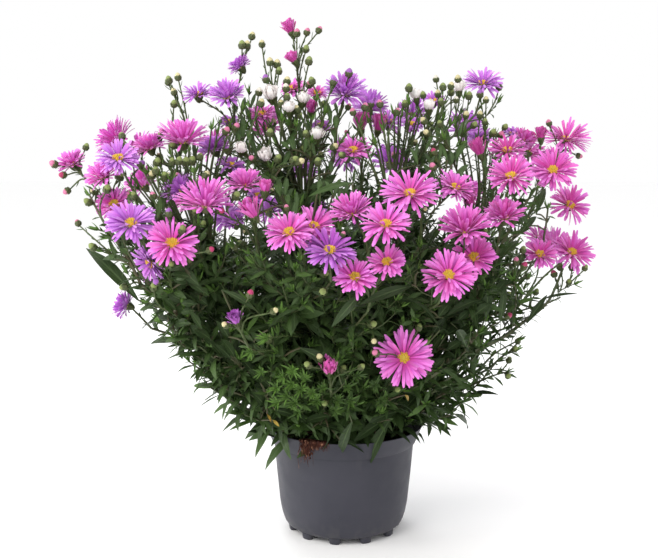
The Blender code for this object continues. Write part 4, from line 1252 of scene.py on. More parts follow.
owned = []
for stem in stems:
    long_shoots = [shoot for shoot in stem.shoots if shoot.length > LONG_SHOOT]
    owned += [(stem, twig) for twig in stem.twigs + long_shoots]
owned += [(stem, twig) for stem in stems for truss, share in stem.trusses for twig in truss.twigs]
perches = Perches(owned)
draw = np.random.default_rng(29)
faded = Growth("faded_leaves")
for row in BOLD_LEAVES:
    add_bold_leaf(None, LEAF, row, draw)
for row in FADED_LEAVES:
    add_bold_leaf(faded, FADED, row, draw)
fills = [draw_row(number, draw) for number in range(FILLS)]
fills += [draw_thicket_row(number, draw) for number in range(THICKET_LEAVES)]
fills = [row for row in fills if shows_blooms(row)]
for row in fills:
    add_bold_leaf(None, LEAF, row, draw, 4)
print("leaves drawn and kept:", len(fills))

# %% [markdown]
# ## Buds
# A bud is a small egg of green scales with a coloured tip, on a thin curved stalk. The buds that the
# picture shows are named by colour and pixel. Each is joined to the nearest twig below it.

# %% Buds in the picture
CREAM, LIME, ROSE, RED, PURPLE, PEARL = (0.0, 0.14, 0.43, 0.57, 0.71, 1.0)
BUDS = {
    CREAM: ((252, 36), (262, 44), (247, 45), (270, 62), (277, 64), (287, 81), (261, 103), (281, 104),
            (297, 109), (424, 121), (427, 133), (438, 94), (451, 86), (458, 79), (466, 115), (480, 115),
            (174, 92), (178, 77), (300, 162), (374, 341), (274, 311), (320, 358), (334, 147), (486, 100),
            (152, 175), (206, 175)),
    LIME: ((242, 45), (279, 71), (312, 81), (306, 49), (309, 61), (287, 97), (405, 104), (409, 88),
           (423, 95), (441, 102), (443, 87), (440, 124), (451, 92), (469, 96), (499, 87), (474, 125),
           (485, 122), (493, 133), (505, 127), (563, 142), (270, 133), (306, 134), (278, 159), (294, 160),
           (318, 162), (342, 155), (173, 145), (195, 210), (236, 196), (169, 80), (168, 82), (174, 104),
           (86, 147), (122, 136), (93, 247), (88, 202), (134, 196), (145, 234), (182, 230), (160, 263),
           (171, 265), (308, 365), (361, 367), (343, 369), (523, 250), (549, 254), (560, 267), (572, 267),
           (585, 268), (569, 282), (536, 292), (518, 341), (515, 349), (509, 360), (508, 376),
           (157, 162), (156, 171), (165, 176), (172, 162), (179, 161), (186, 162), (192, 161), (200, 157),
           (200, 181), (107, 189), (79, 166), (109, 165), (122, 145), (154, 287), (124, 287)),
    ROSE: ((297, 33), (307, 32), (319, 30), (353, 112), (365, 107), (380, 104), (397, 112), (433, 167),
           (501, 135), (549, 123), (579, 156), (163, 132), (226, 131), (236, 127), (67, 191), (78, 223),
           (54, 164), (153, 196), (516, 261), (376, 353)),
    RED: ((215, 184), (221, 211), (63, 175), (210, 250), (250, 294), (524, 266), (554, 274), (508, 316),
          (434, 152)),
    PURPLE: ((141, 165), (169, 213), (266, 79), (333, 82), (349, 73), (371, 104), (480, 94), (157, 282)),
    PEARL: ((286, 88), (302, 96), (259, 92), (436, 79), (456, 100)),
}
print("buds in the picture:", sum(len(places) for places in BUDS.values()))

# %% [markdown]
# A bud's scales are small blades that lie against the egg in two rows, and the petals show as a rounded
# tip above them.

# %% Shape a bud
BUD_PROFILE = ((-1.2, 0), (-1.05, 0.42), (-0.55, 0.76), (0.0, 0.84), (0.4, 0.76), (0.5, 0))
TIP_PROFILE = ((0.05, 0), (0.12, 0.84), (0.6, 0.88), (1.0, 0.66), (1.3, 0.3), (1.42, 0))
SCALE_ROWS = ((-1.12, 0.5, 6, 1.1, 1.0, -1.1), (-0.66, 0.82, 7, 1.18, 0.42, -0.75))


def ring_of(axis, count, turn):
    """Give directions spaced round an axis."""
    first, second = (np.array(side) for side in across(Vector(axis)))
    return fan(first, second, turn + whole_turn(count))


def add_scales(growth, middle, axis, size, draw):
    """Lay a bud's rows of scales: each has a height, radius, count, length, slope and bend."""
    for number, (height, radius, count, length, slope, bend) in enumerate(SCALE_ROWS):
        outward = ring_of(axis, count, number * 0.45 + draw.uniform(0, 0.3))
        roots = middle + axis * height * size + outward * radius * size
        heading = unit(axis + outward * slope)
        add_blades(growth, SCALE, roots, heading, np.cross(outward, axis), length * size,
                   1.1 * size, BRACT_OUTLINE, mix_kinds(draw, count, 0.5), bend, 0.0, -0.2, 0.3, 3)


def add_bud(growth, middle, axis, size, colour, draw):
    """Add a bud with its scales and its coloured tip."""
    add_turned(growth, SCALE, middle, axis, size, BUD_PROFILE, mix_kinds(draw, 1, 0.5), 8)
    add_turned(growth, TIP, middle, axis, size, TIP_PROFILE, mix_kinds(draw, 1, colour, 0.04), 8)
    add_scales(growth, middle, axis, size, draw)


print("scales on a bud:", sum(row[2] for row in SCALE_ROWS))

# %% [markdown]
# Buds grow on the stems, the branches, the trusses' stalks and the longer shoots. A bud's stalk starts
# where the way to the bud is short and leads upward, and it carries a few tiny bracts.

# %% Grow the buds
BUD_SIZE = 2.7
BUD_RISE = 17.0
TOP_BUD_RISE = 34.0
TOP_BUDS_ABOVE = 125


def hang_bud(stem, start, direction, middle, size, colour, draw):
    """Join a bud to its twig with a curved stalk that has tiny bracts."""
    rise = np.linalg.norm(middle - start)
    handle = start + unit(direction + (0, 0, 0.4)) * 0.45 * rise
    arrival = unit(middle - handle + (0, 0, 0.35 * rise))
    waist = 0.5 * handle + 0.25 * (start + middle)
    stalk = Twig([start, waist, middle - arrival * size], 4, 0.75, 0.55, 0.65)
    add_twig(stem.buds, stalk, draw, 4)
    add_bud(stem.buds, middle, arrival, size, colour, draw)
    add_bracts(stem.buds, stalk, draw, 5.5)


def add_bracts(growth, twig, draw, spacing):
    """Set tiny narrow bracts along a stalk."""
    distances = np.arange(3.0, twig.length - 2.0, spacing)
    if len(distances) == 0:
        return
    count = len(distances)
    points, forward, outward = twig.outward(distances, golden_turns(draw, count))
    heading = unit(forward + outward * draw.uniform(0.4, 0.9, (count, 1)))
    length = draw.uniform(3.5, 8.0, count)
    kinds = mix_kinds(draw, count, 0.55)
    add_blades(growth, LEAF, points, heading, np.cross(forward, outward), length, 0.24 * length,
               BRACT_OUTLINE, kinds, draw.uniform(-0.3, 0.5, count), 0.0, 0.3, 0.3, 3)


draw = np.random.default_rng(23)
for stem in stems:
    stem.buds = Growth("stem_{:02d}_buds".format(stem.number))
for colour, places in BUDS.items():
    for x, y in places:
        middle = np.array(place_by_sight(x, y, draw.uniform(-6, 10)))
        start, direction, stem = perches.best(middle, TOP_BUD_RISE if y < TOP_BUDS_ABOVE else BUD_RISE)
        hang_bud(stem, start, direction, middle, BUD_SIZE * draw.uniform(0.9, 1.1), colour, draw)
print("points in all buds:", sum(stem.buds.count for stem in stems))

# %% [markdown]
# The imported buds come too, and each truss gets a few seeded small ones, which fill the top of the plant.

# %% Grow the other buds
BUD_RADIUS = 2.8
BUD_PLACE = 0.72
BUD_TRIES = 8
BUD_TRY_TURN = 0.8
LIME_BELOW = 270.0
EXTRA_BUDS = 4
EXTRA_BELOW = 385.0


def packed_buds(stem):
    """List the buds of a packed stem: start, middle, axis and size."""
    draw = random.Random(200 + stem.number)
    found = []
    for route, radius in stem.carriers[1:]:
        middle, direction = point_along(route, route_length(route) * BUD_PLACE)
        first, second = across(direction)
        turn = draw.uniform(0, 2 * math.pi)
        length = draw.uniform(14, 30)
        size = draw.uniform(0.85, 1.1) * BUD_RADIUS
        for attempt in range(BUD_TRIES):
            angle = turn + attempt * BUD_TRY_TURN
            outward = first * math.cos(angle) + second * math.sin(angle)
            heading = (outward * 0.8 + direction + UP * 0.3).normalized()
            if is_corner(stem.tree, middle + heading * (length + size * 1.5)):
                found.append((middle, direction, middle + heading * length, size))
                break
    return found


count = 0
extra = 0
for stem in stems:
    for start, direction, middle, size in packed_buds(stem):
        colour = draw.choice((CREAM, LIME, ROSE))
        hang_bud(stem, np.array(start), np.array(direction), np.array(middle), size,
                 LIME if middle.z < LIME_BELOW else colour, draw)
        count += 1
    for truss, share in stem.trusses:
        twig = truss.twigs[0]
        distances = draw.uniform(0.15, 0.85, EXTRA_BUDS) * twig.length
        points, forward, outward = twig.outward(distances, draw.uniform(0, TURN, EXTRA_BUDS))
        heading = unit(forward + 0.75 * outward + (0, 0, 0.3))
        ends = points + heading * draw.uniform(13, 30, (EXTRA_BUDS, 1))
        for start, ahead, end, fits in zip(points, forward, ends, has_room(ends, 1.0)):
            if fits and end[2] < EXTRA_BELOW and crown_ratio(Vector(end)) < 1.03:
                hang_bud(stem, start, ahead, end, BUD_SIZE * draw.uniform(0.6, 0.95),
                         draw.choice((CREAM, LIME, LIME, ROSE)), draw)
                extra += 1
print("packed buds found:", count, "and extra buds:", extra)

# %% [markdown]
# Low at the front some new shoots end in dense rosettes of bright needle leaves. They catch the light
# against the dark old leaves behind them.

# %% Grow rosettes
ROSETTES = ((267, 338), (293, 370), (277, 388), (287, 396), (292, 384), (301, 389), (295, 403), (317, 401),
            (334, 410), (337, 400), (347, 387), (357, 376), (375, 385), (381, 400), (251, 352), (312, 393),
            (283, 377), (305, 378), (323, 388), (350, 401), (277, 403), (262, 372), (298, 412))
ROSETTE_LEAVES = 20
ROSETTE_RISE = 22.0
for x, y in ROSETTES:
    end = np.array(place_by_sight(x, y, draw.uniform(-8, -2)))
    start, direction, stem = stem_perches.best(end, ROSETTE_RISE)
    twig = Twig([start, 0.5 * (start + end) + direction * 3, end], 4, 0.8, 0.5, 0.8)
    add_twig(stem.foliage, twig, draw, 5)
    add_bracts(stem.foliage, twig, draw, 2.5)
    age = np.interp(x, (285, 375), (0.92, 0.66)) - draw.uniform(0, 0.15)
    add_tuft(stem.foliage, twig, draw, ROSETTE_LEAVES, age, 1.3, 8.0)
print("rosettes:", len(ROSETTES))

# %% [markdown]
# ## Rays
# What looks like a petal is a whole small flower, a ray. A bloom has forty or more of them in layers:
# upright short ones inside, and flat or hanging longer ones outside. A half-open bloom is a brush of
# upright rays in a deeper colour. A layer is given by the lift, the number and the length of its rays.

# %% Layers of rays
OPEN_LAYERS = ((54, 6, 0.62), (41, 13, 0.8), (29, 19, 0.91), (17, 23, 0.98), (6, 20, 1.0), (-7, 8, 0.94),
               (-22, 3, 0.85))
DOME_LAYERS = ((80, 10, 0.8), (66, 18, 0.88), (52, 23, 0.94), (39, 24, 0.98), (26, 23, 1.0),
               (13, 16, 0.97), (0, 6, 0.9))
HALF_LAYERS = ((86, 10, 0.88), (80, 14, 1.0), (72, 15, 0.98), (63, 7, 0.9))
WHITE_LAYERS = ((86, 9, 0.8), (74, 13, 0.95), (60, 15, 1.0), (44, 12, 0.92))
CURLED = "pink_truss_20"
CURLED_LENGTH = 1.4
LAYERS = {OPEN: OPEN_LAYERS, DOME: DOME_LAYERS, HALF: HALF_LAYERS}
TYPICAL_REACH = 20.0
DISC_RADIUS = 4.6
RAY_WIDTH = 2.55
WHITE_RAY_WIDTH = 3.1
RAY_THICKNESS = 0.32
RAY_SWING = 0.22
INCURVE = -1.15
# Some trusses, most on the crown's right side, are deeper: partly their own tone, partly painted shade of
# that side.
DEEPER_TONE_AND_SHADE = {"violet_truss_07": 0.46, "pink_truss_10": 0.33, "pink_truss_11": 0.33, "pink_truss_13": 0.28,
          "pink_truss_15": 0.25, "pink_truss_17": 0.16, "pink_truss_18": 0.32, "pink_truss_20": 0.15,
          "violet_truss_13": 0.15}
print("rays of a large open bloom:", sum(row[1] for row in OPEN_LAYERS))

# %% [markdown]
# Each ray gets its own length, lift, swing, bend and twist, drawn near those of its layer. The white
# rays, and those of one young pink bloom, curl in to a ball.

# %% Shape a bloom's rays
def disc_radius(bloom):
    """Give the radius of a bloom's disc."""
    return DISC_RADIUS * (0.62 if bloom.form == HALF else min(1.0, 0.55 + bloom.reach / 45))


def add_rays(growth, bloom, truss, draw):
    """Add a bloom's rays, layer by layer."""
    axis = np.array(bloom.facing)
    disc = disc_radius(bloom)
    half_open = bloom.form == HALF
    white = truss.colour == "white"
    curled = white or truss.name == CURLED
    layers = WHITE_LAYERS if curled else LAYERS[bloom.form]
    for number, (lift, count, share) in enumerate(layers):
        if not half_open:
            count = int(round(count * (0.4 + 0.6 * bloom.reach / TYPICAL_REACH)))
        outward = ring_of(axis, count, draw.uniform(0, TURN))
        swing = draw.uniform(-RAY_SWING, RAY_SWING, (count, 1))
        outward = unit(outward + np.cross(axis, outward) * swing)
        rise = np.radians(lift + draw.normal(0, 6.0, count))[:, None]
        along = outward * np.cos(rise) + axis * np.sin(rise)
        if half_open:
            length = bloom.reach * share * draw.uniform(0.84, 1.04, count)
            length = length * (CURLED_LENGTH if truss.name == CURLED else 1.0)
        else:
            length = (bloom.reach - 0.8 * disc) / np.maximum(np.cos(rise[:, 0]), 0.74)
            length = length * share * draw.uniform(0.9, 1.08, count)
        base = disc * (0.74 + 0.08 * number)
        roots = np.array(bloom.middle) + outward * base + axis * (0.9 - 0.5 * number)
        bend = draw.normal(INCURVE if curled else 0.0 if half_open else 0.3, 0.2, count)
        # A truss's extra depth of colour is partly painted shade on the crown's right side.
        age = (0.85 if half_open else 0.5 - 0.1 * number) + DEEPER_TONE_AND_SHADE.get(truss.name, 0.0)
        width = (WHITE_RAY_WIDTH if white else RAY_WIDTH) * draw.uniform(0.8, 1.15, count)
        kinds = mix_kinds(draw, count, age, 0.2)
        add_blades(growth, RAY, roots, along, np.cross(outward, axis), length, width, RAY_OUTLINE, kinds,
                   bend, draw.normal(0, 0.35, count), 0.24, RAY_THICKNESS, 3)


print("disc radius of a large bloom:", DISC_RADIUS)

# %% [markdown]
# ## Disc, cup and stalks
# The yellow disc is a dome of tiny tubes set at the golden angle. Behind it a cup of green scales holds
# the bloom, on a stalk with tiny narrow leaves.

# %% Discs and cups
FLORETS = 38
DISC_PROFILE = ((-2.2, 0), (-2.0, 0.9), (0.1, 0.95), (0.8, 0.6), (1.25, 0))
FLORET_PROFILE = ((-1.0, 0), (-0.8, 0.42), (0.75, 0.55), (1.15, 0))
CUP_PROFILE = ((-7.5, 0), (-7.3, 0.9), (-6.2, 2.5), (-4.2, 3.7), (-1.6, 4.1), (-0.1, 4.3), (0.3, 0))
CUP_SCALE = 1.02
CUP_ROWS = ((-6.4, 2.2, 9, 4.4), (-4.4, 3.5, 11, 4.8))


def add_disc(growth, bloom, draw):
    """Add the domed disc and its florets, with the outer ones taller and riper."""
    axis = np.array(bloom.facing)
    middle = np.array(bloom.middle)
    radius = disc_radius(bloom)
    profile = [(height, width * radius) for height, width in DISC_PROFILE]
    add_turned(growth, FLORET, middle, axis, 1.0, profile, mix_kinds(draw, 1, 0.3), 10)
    count = FLORETS if bloom.form == OPEN else FLORETS // 2
    number = np.arange(count) + 0.5
    out = np.sqrt(number / count)
    first, second = (np.array(side) for side in across(bloom.facing))
    outward = fan(first, second, number * GOLDEN_ANGLE + draw.uniform(0, TURN))
    places = middle + outward * (0.96 * radius * out)[:, None] + axis * (1.35 - 1.2 * out ** 2)[:, None]
    axes = unit(axis + outward * (0.55 * out)[:, None])
    size = draw.uniform(0.95, 1.3, count) * (0.75 + 0.4 * out)
    add_turned(growth, FLORET, places, axes, size, FLORET_PROFILE,
               mix_kinds(draw, count, 0.15 + 0.75 * out), 4)


def add_cup(growth, bloom, draw):
    """Add the green cup under a bloom, with its rows of scales."""
    axis = np.array(bloom.facing)
    middle = np.array(bloom.middle)
    scale = disc_radius(bloom) / DISC_RADIUS * CUP_SCALE
    profile = [(height, width * scale) for height, width in CUP_PROFILE]
    add_turned(growth, SCALE, middle, axis, 1.0, profile, mix_kinds(draw, 1, 0.4), 9)
    for number, (height, radius, count, length) in enumerate(CUP_ROWS):
        outward = ring_of(axis, count, draw.uniform(0, TURN))
        roots = middle + axis * height + outward * radius * scale
        heading = unit(axis + outward * draw.uniform(0.15, 0.55, (count, 1)))
        add_blades(growth, SCALE, roots, heading, np.cross(axis, outward), length, 1.5, BRACT_OUTLINE,
                   mix_kinds(draw, count, 0.45, 0.3), draw.uniform(-0.5, 0.5, count), 0.0, 0.2, 0.3, 3)


for truss in trusses:
    draw = np.random.default_rng(500 + trusses.index(truss))
    truss.petals = Growth(truss.name + "_rays")
    truss.discs = Growth(truss.name + "_discs")
    truss.stalks = Growth(truss.name + "_stalks")
    for bloom in truss.blooms:
        add_rays(truss.petals, bloom, truss, draw)
        add_cup(truss.stalks, bloom, draw)
        if bloom.form != HALF:
            add_disc(truss.discs, bloom, draw)
    for twig in truss.twigs:
        add_twig(truss.stalks, twig, draw, 6)
        add_bracts(truss.stalks, twig, draw, 4.6)
print("points in all rays:", sum(truss.petals.count for truss in trusses))

# %% [markdown]
# ## The pot
# The pot is moulded in one piece: a thin wall that widens upward, a collar with a fine step below it, a
# rounded lip, a rounded foot edge, and small nubs under it that let water out. Its outline is turned
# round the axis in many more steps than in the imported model.

# %% Turn the pot
POT_SIDES = 128
FLOOR_TOP = 6.1
OUTER_WALL = ((47.6, 5.2), (49.8, 5.6), (51.5, 6.8), (52.8, 8.8), (53.9, 11.8), (55.3, 16.5),
              (56.2, 21.0), (57.0, 26.0), (59.6, 53.0), (61.7, 77.6), (61.55, 78.7), (61.9, 79.5),
              (63.3, 79.8), (63.75, 80.4), (66.8, 88.0), (69.35, 94.2), (69.85, 94.9), (70.0, 95.3))
LIP = ((69.85, 95.6), (69.4, 95.75), (68.9, 95.6), (68.55, 95.1))
INNER_WALL = ((65.3, 88.4), (61.4, 79.9), (60.9, 78.3), (57.6, 46.0), (54.8, 18.5), (52.0, 11.0),
              (47.5, 7.0), (45.4, FLOOR_TOP))


def turn_rings(profile, sides):
    """Turn a profile of (radius, height) rows round the pot's axis."""
    angle = whole_turn(sides)
    radius, height = np.array(profile).T
    return np.stack([radius[:, None] * np.cos(angle), radius[:, None] * np.sin(angle),
                     height[:, None] * np.ones(sides)], -1)


def add_closed(growth, finish, rings):
    """Add one closed body from rings, with a point in the middle of the first and of the last."""
    across_rings, along_rings = np.linspace(0, 1, rings.shape[1]), np.linspace(0, 1, len(rings))
    growth.add(rings[None], rings[:1].mean(1), rings[-1:].mean(1), finish, across_rings, along_rings,
               np.zeros(1))


pot = Growth("nursery_pot")
add_closed(pot, PLASTIC, turn_rings(OUTER_WALL + LIP + INNER_WALL, POT_SIDES))
print("rings of the pot:", len(OUTER_WALL + LIP + INNER_WALL))

# %% [markdown]
# Each nub is a short block with round ends and edges. It is a stack of rounded outlines that shrink
# towards the ground. The gate mark is the small pip where the plastic was let into the mould.

# %% Nubs
FOOT_COUNT = 11
FOOT_TURN = 0.97
FOOT_RADIUS = 46.6
NUB_LEVELS = ((0.0, 0.66), (0.25, 0.8), (1.0, 0.9), (3.2, 1.0), (5.8, 1.08))
NUB_HALF = (5.2, 3.4)
NUB_SIDES = 20
NUB_ROUNDING = 0.7


def add_nub(growth, angle):
    """Add one nub under the pot."""
    turn = whole_turn(NUB_SIDES)
    outward = np.array((math.cos(angle), math.sin(angle), 0.0))
    side = np.array((-outward[1], outward[0], 0.0))
    long_way = np.sign(np.cos(turn)) * np.abs(np.cos(turn)) ** NUB_ROUNDING * NUB_HALF[0]
    short_way = np.sign(np.sin(turn)) * np.abs(np.sin(turn)) ** NUB_ROUNDING * NUB_HALF[1]
    outline = outward * short_way[:, None] - side * long_way[:, None]
    rings = [outward * FOOT_RADIUS + outline * scale + (0, 0, height) for height, scale in NUB_LEVELS]
    add_closed(growth, PLASTIC, np.array(rings))


nubs = Growth("nubs")
for number in range(FOOT_COUNT):
    add_nub(nubs, 2 * math.pi * (number + FOOT_TURN) / FOOT_COUNT)
GATE_PLACE = (-4.2, -57.0, 27.0)
GATE_PROFILE = ((-0.6, 0), (-0.5, 1.1), (0.15, 1.0), (0.35, 0.5), (0.3, 0))
add_turned(nubs, PLASTIC, GATE_PLACE, (GATE_PLACE[0], GATE_PLACE[1], 0.0), 1.0, GATE_PROFILE, [0], 16)
print("nubs:", FOOT_COUNT)

# %% [markdown]
# ## The peat
# The root ball fills the pot to just under the rim. Its top is uneven, so waves and a little chance
# shape its height, and it is strewn with crumbs.

# %% Peat and crumbs
PEAT_WALL = ((44.0, FLOOR_TOP + 0.4), (53.4, 18.5), (59.4, 78.5), (61.6, 83.4))
PEAT_RADIUS = 60.0
PEAT_SIDES = 72
CRUMBS = 300
CRUMB_PROFILE = ((-1.0, 0), (-0.6, 0.8), (0.3, 0.95), (0.9, 0.5), (1.1, 0))


def peat_height(x, y):
    """Give the uneven height of the peat's top."""
    wave = 0.7 * np.sin(0.21 * x + 1.0) * np.cos(0.17 * y) + 0.45 * np.sin(0.53 * x - 0.4 * y)
    return SOIL_TOP - 0.9 + wave + 0.25 * np.sin(1.3 * x + 0.9 * y) * np.cos(1.1 * y - 0.7 * x)


draw = np.random.default_rng(31)
peat = Growth("peat_surface")
top = turn_rings([(radius, 0.0) for radius in np.arange(PEAT_RADIUS, 2.0, -2.4)], PEAT_SIDES)
top[..., 2] = peat_height(top[..., 0], top[..., 1]) + draw.uniform(-0.35, 0.35, top.shape[:2])
add_closed(peat, PEAT, np.concatenate([turn_rings(PEAT_WALL, PEAT_SIDES), top]))
radius = PEAT_RADIUS * np.sqrt(draw.uniform(0, 1, CRUMBS))
angle = draw.uniform(0, TURN, CRUMBS)
x, y = radius * np.cos(angle), radius * np.sin(angle)
places = np.stack([x, y, peat_height(x, y) + 0.3], -1)
add_turned(peat, PEAT, places, draw.normal(0, 1, (CRUMBS, 3)), draw.uniform(0.5, 1.9, CRUMBS),
           CRUMB_PROFILE, mix_kinds(draw, CRUMBS, 0.5, 0.5), 5)
print("crumbs:", CRUMBS)

# %% [markdown]
# A tuft of red-brown roots has grown over the rim at the front. Each root is a thin stalk that climbs
# out of the peat, lies on the rim and hangs, longest near the middle, with flecks of peat between them.

# %% Roots over the rim
TUFT_ROOTS = 105
TUFT_AZIMUTH = math.radians(248.5)
TUFT_WIDTH = 0.15
TUFT_FLECKS = 110
tuft = Growth("root_tuft")
for number in range(TUFT_ROOTS):
    across_tuft = draw.uniform(-1, 1)
    azimuth = TUFT_AZIMUTH + TUFT_WIDTH * across_tuft
    outward = np.array((math.cos(azimuth), math.sin(azimuth), 0.0))
    aside = np.array((-outward[1], outward[0], 0.0))
    drop = draw.uniform(4, 20) * math.exp(-((across_tuft + 0.5) / 0.42) ** 2) + draw.uniform(1.5, 6)
    sway = draw.normal(0, 1.7, 3)
    over = outward * (71.3 + draw.uniform(0, 1.5)) + aside * (sway[0] + sway[1])
    route = [outward * 58 + (0, 0, 87.5), outward * 67.5 + aside * sway[0] + (0, 0, 97.2),
             over + (0, 0, 96 - 0.4 * drop),
             outward * (70.6 + draw.uniform(0, 1.5)) + aside * sway.sum() + (0, 0, 95.0 - drop)]
    add_stalk(tuft, FIBRE, smooth_route(route, 4), draw.uniform(0.3, 0.65), 0.12,
              mix_kinds(draw, 1, 0.4, 0.5)[0], 5)
across_tuft = draw.uniform(-1.1, 1.1, TUFT_FLECKS)
azimuth = TUFT_AZIMUTH + TUFT_WIDTH * across_tuft
depth = 16 * np.exp(-((across_tuft + 0.45) / 0.6) ** 2) + 2
height = 97.0 - depth * draw.uniform(0, 1, TUFT_FLECKS) ** 1.3
out = np.interp(height, (85, 97), (69.2, 71.6))
places = np.stack([out * np.cos(azimuth), out * np.sin(azimuth), height], -1)
add_turned(tuft, FIBRE, places, draw.normal(0, 1, (TUFT_FLECKS, 3)), draw.uniform(0.5, 1.5, TUFT_FLECKS),
           CRUMB_PROFILE, mix_kinds(draw, TUFT_FLECKS, 0.5, 0.5), 6)
print("roots in the tuft:", TUFT_ROOTS)

# %% [markdown]
# ## Nodes with less writing
# A material is a small network. These helpers add a node, feed its inputs with numbers or with the
# outputs of other nodes, and hand back its output, so that each material below reads from top to bottom.

# %% Helpers for nodes
def feed(tree, socket, value):
    """Link a socket to another one, or set its value."""
    if isinstance(value, bpy.types.NodeSocket):
        tree.links.new(value, socket)
    elif socket.type == "RGBA":
        socket.default_value = (*value, 1.0)
    else:
        socket.default_value = value


def add_node(tree, kind, inputs, output=0, **settings):
    """Add a node with its settings and inputs, and give one of its outputs."""
    node = tree.nodes.new(kind)
    for name, value in settings.items():
        setattr(node, name, value)
    for name, value in inputs.items():
        feed(tree, node.inputs[name], value)
    return node.outputs[output]


def compute(tree, operation, first, second=0.0):
    """Add a Math node."""
    return add_node(tree, "ShaderNodeMath", {0: first, 1: second}, operation=operation)


def times(tree, first, second):
    """Multiply two values."""
    return compute(tree, "MULTIPLY", first, second)


def blend(tree, factor, first, second, mode="MIX"):
    """Mix two colours."""
    return add_node(tree, "ShaderNodeMix", {0: factor, 6: first, 7: second}, 2, data_type="RGBA",
                    blend_type=mode)


def remap(tree, value, low, high, to_low=0.0, to_high=1.0):
    """Carry a value smoothly from one range to another."""
    inputs = {"Value": value, 1: low, 2: high, 3: to_low, 4: to_high}
    return add_node(tree, "ShaderNodeMapRange", inputs, interpolation_type="SMOOTHSTEP")


def ramp(tree, factor, rows):
    """Turn a value into a colour by rows of a position and a colour."""
    node = tree.nodes.new("ShaderNodeValToRGB")
    elements = node.color_ramp.elements
    while len(elements) < len(rows):
        elements.new(0.5)
    for element, (position, colour) in zip(elements, rows):
        element.position = position
        element.color = (*colour, 1.0)
    feed(tree, node.inputs[0], factor)
    return node.outputs[0]


def start_material(name, specular, sheen=0.0):
    """Start a material and set the numbers that are the same all over it."""
    material = bpy.data.materials.new(name)
    material.use_nodes = True
    shader = material.node_tree.nodes["Principled BSDF"]
    shader.inputs["Specular IOR Level"].default_value = specular
    shader.inputs["Sheen Weight"].default_value = sheen
    return material, material.node_tree


def finish_material(material, colour, rough, height, strength, distance):
    """Feed a material's colour, its relief, and its roughness: a mask, its range and theirs."""
    tree = material.node_tree
    shader = tree.nodes["Principled BSDF"]
    relief = {"Strength": strength, "Distance": distance, "Height": height}
    feed(tree, shader.inputs["Base Color"], colour)
    feed(tree, shader.inputs["Roughness"], remap(tree, *rough))
    feed(tree, shader.inputs["Normal"], add_node(tree, "ShaderNodeBump", relief))
    return material


print("node helpers are ready")

# %% [markdown]
# ## Effects that several materials share
# Leaves, rays and stems all have fine lines that run lengthwise, and all have soft blotches. Both are
# noise, stretched along the blade or not. Green and yellowed leaves share their veins. Each effect is
# one group with named inputs and outputs.

# %% Shared groups
LINE_STRETCH = (1.6, 37.0)
BLOTCH_STRETCH = (0.35, 1.0, 19.0)
VEINS = 44.0
VEIN_SLANT = 26.0


def start_group(name, inputs, outputs):
    """Start a node group with named inputs and outputs."""
    group = bpy.data.node_groups.new(name, "ShaderNodeTree")
    for label, kind in inputs:
        group.interface.new_socket(label, in_out="INPUT", socket_type="NodeSocket" + kind)
    for label in outputs:
        group.interface.new_socket(label, in_out="OUTPUT", socket_type="NodeSocketFloat")
    return group, group.nodes.new("NodeGroupInput").outputs, group.nodes.new("NodeGroupOutput").inputs


def split_vector(tree, vector):
    """Split a vector into X, Y and Z: for a blade, its across, its along and its variation."""
    split = tree.nodes.new("ShaderNodeSeparateXYZ")
    feed(tree, split.inputs[0], vector)
    return split.outputs


def make_lines_group():
    """Fine lines along a blade, from 0 to 1: Lines is about how many there are across it."""
    inputs = (("Blade", "Vector"), ("Lines", "Float"))
    group, given, result = start_group("lengthwise_lines", inputs, ("Line",))
    split = split_vector(group, given["Blade"])
    inputs = {"X": times(group, split["X"], given["Lines"]),
              "Y": times(group, split["Y"], LINE_STRETCH[0]),
              "Z": times(group, split["Z"], LINE_STRETCH[1])}
    place = add_node(group, "ShaderNodeCombineXYZ", inputs)
    noise = add_node(group, "ShaderNodeTexNoise", {"Vector": place, "Scale": 1.0, "Detail": 2.0})
    feed(group, result["Line"], remap(group, noise, 0.36, 0.64))
    return group


def make_blotch_group():
    """Soft blotches on a blade, from 0 to 1: Size is about how many there are along it."""
    inputs = (("Blade", "Vector"), ("Size", "Float"))
    group, given, result = start_group("soft_blotches", inputs, ("Blotch",))
    inputs = {0: given["Blade"], 1: BLOTCH_STRETCH}
    place = add_node(group, "ShaderNodeVectorMath", inputs, operation="MULTIPLY")
    inputs = {"Vector": place, "Scale": given["Size"], "Detail": 3.0}
    noise = add_node(group, "ShaderNodeTexNoise", inputs)
    feed(group, result["Blotch"], remap(group, noise, 0.34, 0.66))
    return group


def make_veins_group():
    """A leaf's veins, from 0 to 1: the midrib, and the side veins that slant from it to the tip."""
    group, given, result = start_group("leaf_veins", (("Blade", "Vector"),), ("Rib", "Vein"))
    split = split_vector(group, given["Blade"])
    aside = compute(group, "ABSOLUTE", compute(group, "SUBTRACT", split["X"], 0.5))
    rib = remap(group, aside, 0.025, 0.085, 1.0, 0.0)
    feed(group, result["Rib"], times(group, rib, remap(group, split["Y"], 0.1, 1.0, 0.9, 0.15)))
    slant = compute(group, "SUBTRACT", times(group, split["Y"], VEINS), times(group, aside, VEIN_SLANT))
    feed(group, result["Vein"], remap(group, compute(group, "SINE", slant), 0.72, 1.0))
    return group


def use_group(tree, group, **inputs):
    """Place a shared group in a material, and give its outputs."""
    node = tree.nodes.new("ShaderNodeGroup")
    node.node_tree = group
    for name, value in inputs.items():
        feed(tree, node.inputs[name], value)
    return node.outputs


def start_grown(name, specular, sheen=0.0):
    """Start the material of something grown, and read its blade, the way along it and its age."""
    material, tree = start_material(name, specular, sheen)
    blade = add_node(tree, "ShaderNodeAttribute", {}, "Vector", attribute_name="blade")
    age = add_node(tree, "ShaderNodeAttribute", {}, "Fac", attribute_name="age")
    return material, tree, blade, split_vector(tree, blade)["Y"], age


lines_group = make_lines_group()
blotch_group = make_blotch_group()
veins_group = make_veins_group()
print("shared groups:", lines_group.name, blotch_group.name, veins_group.name)
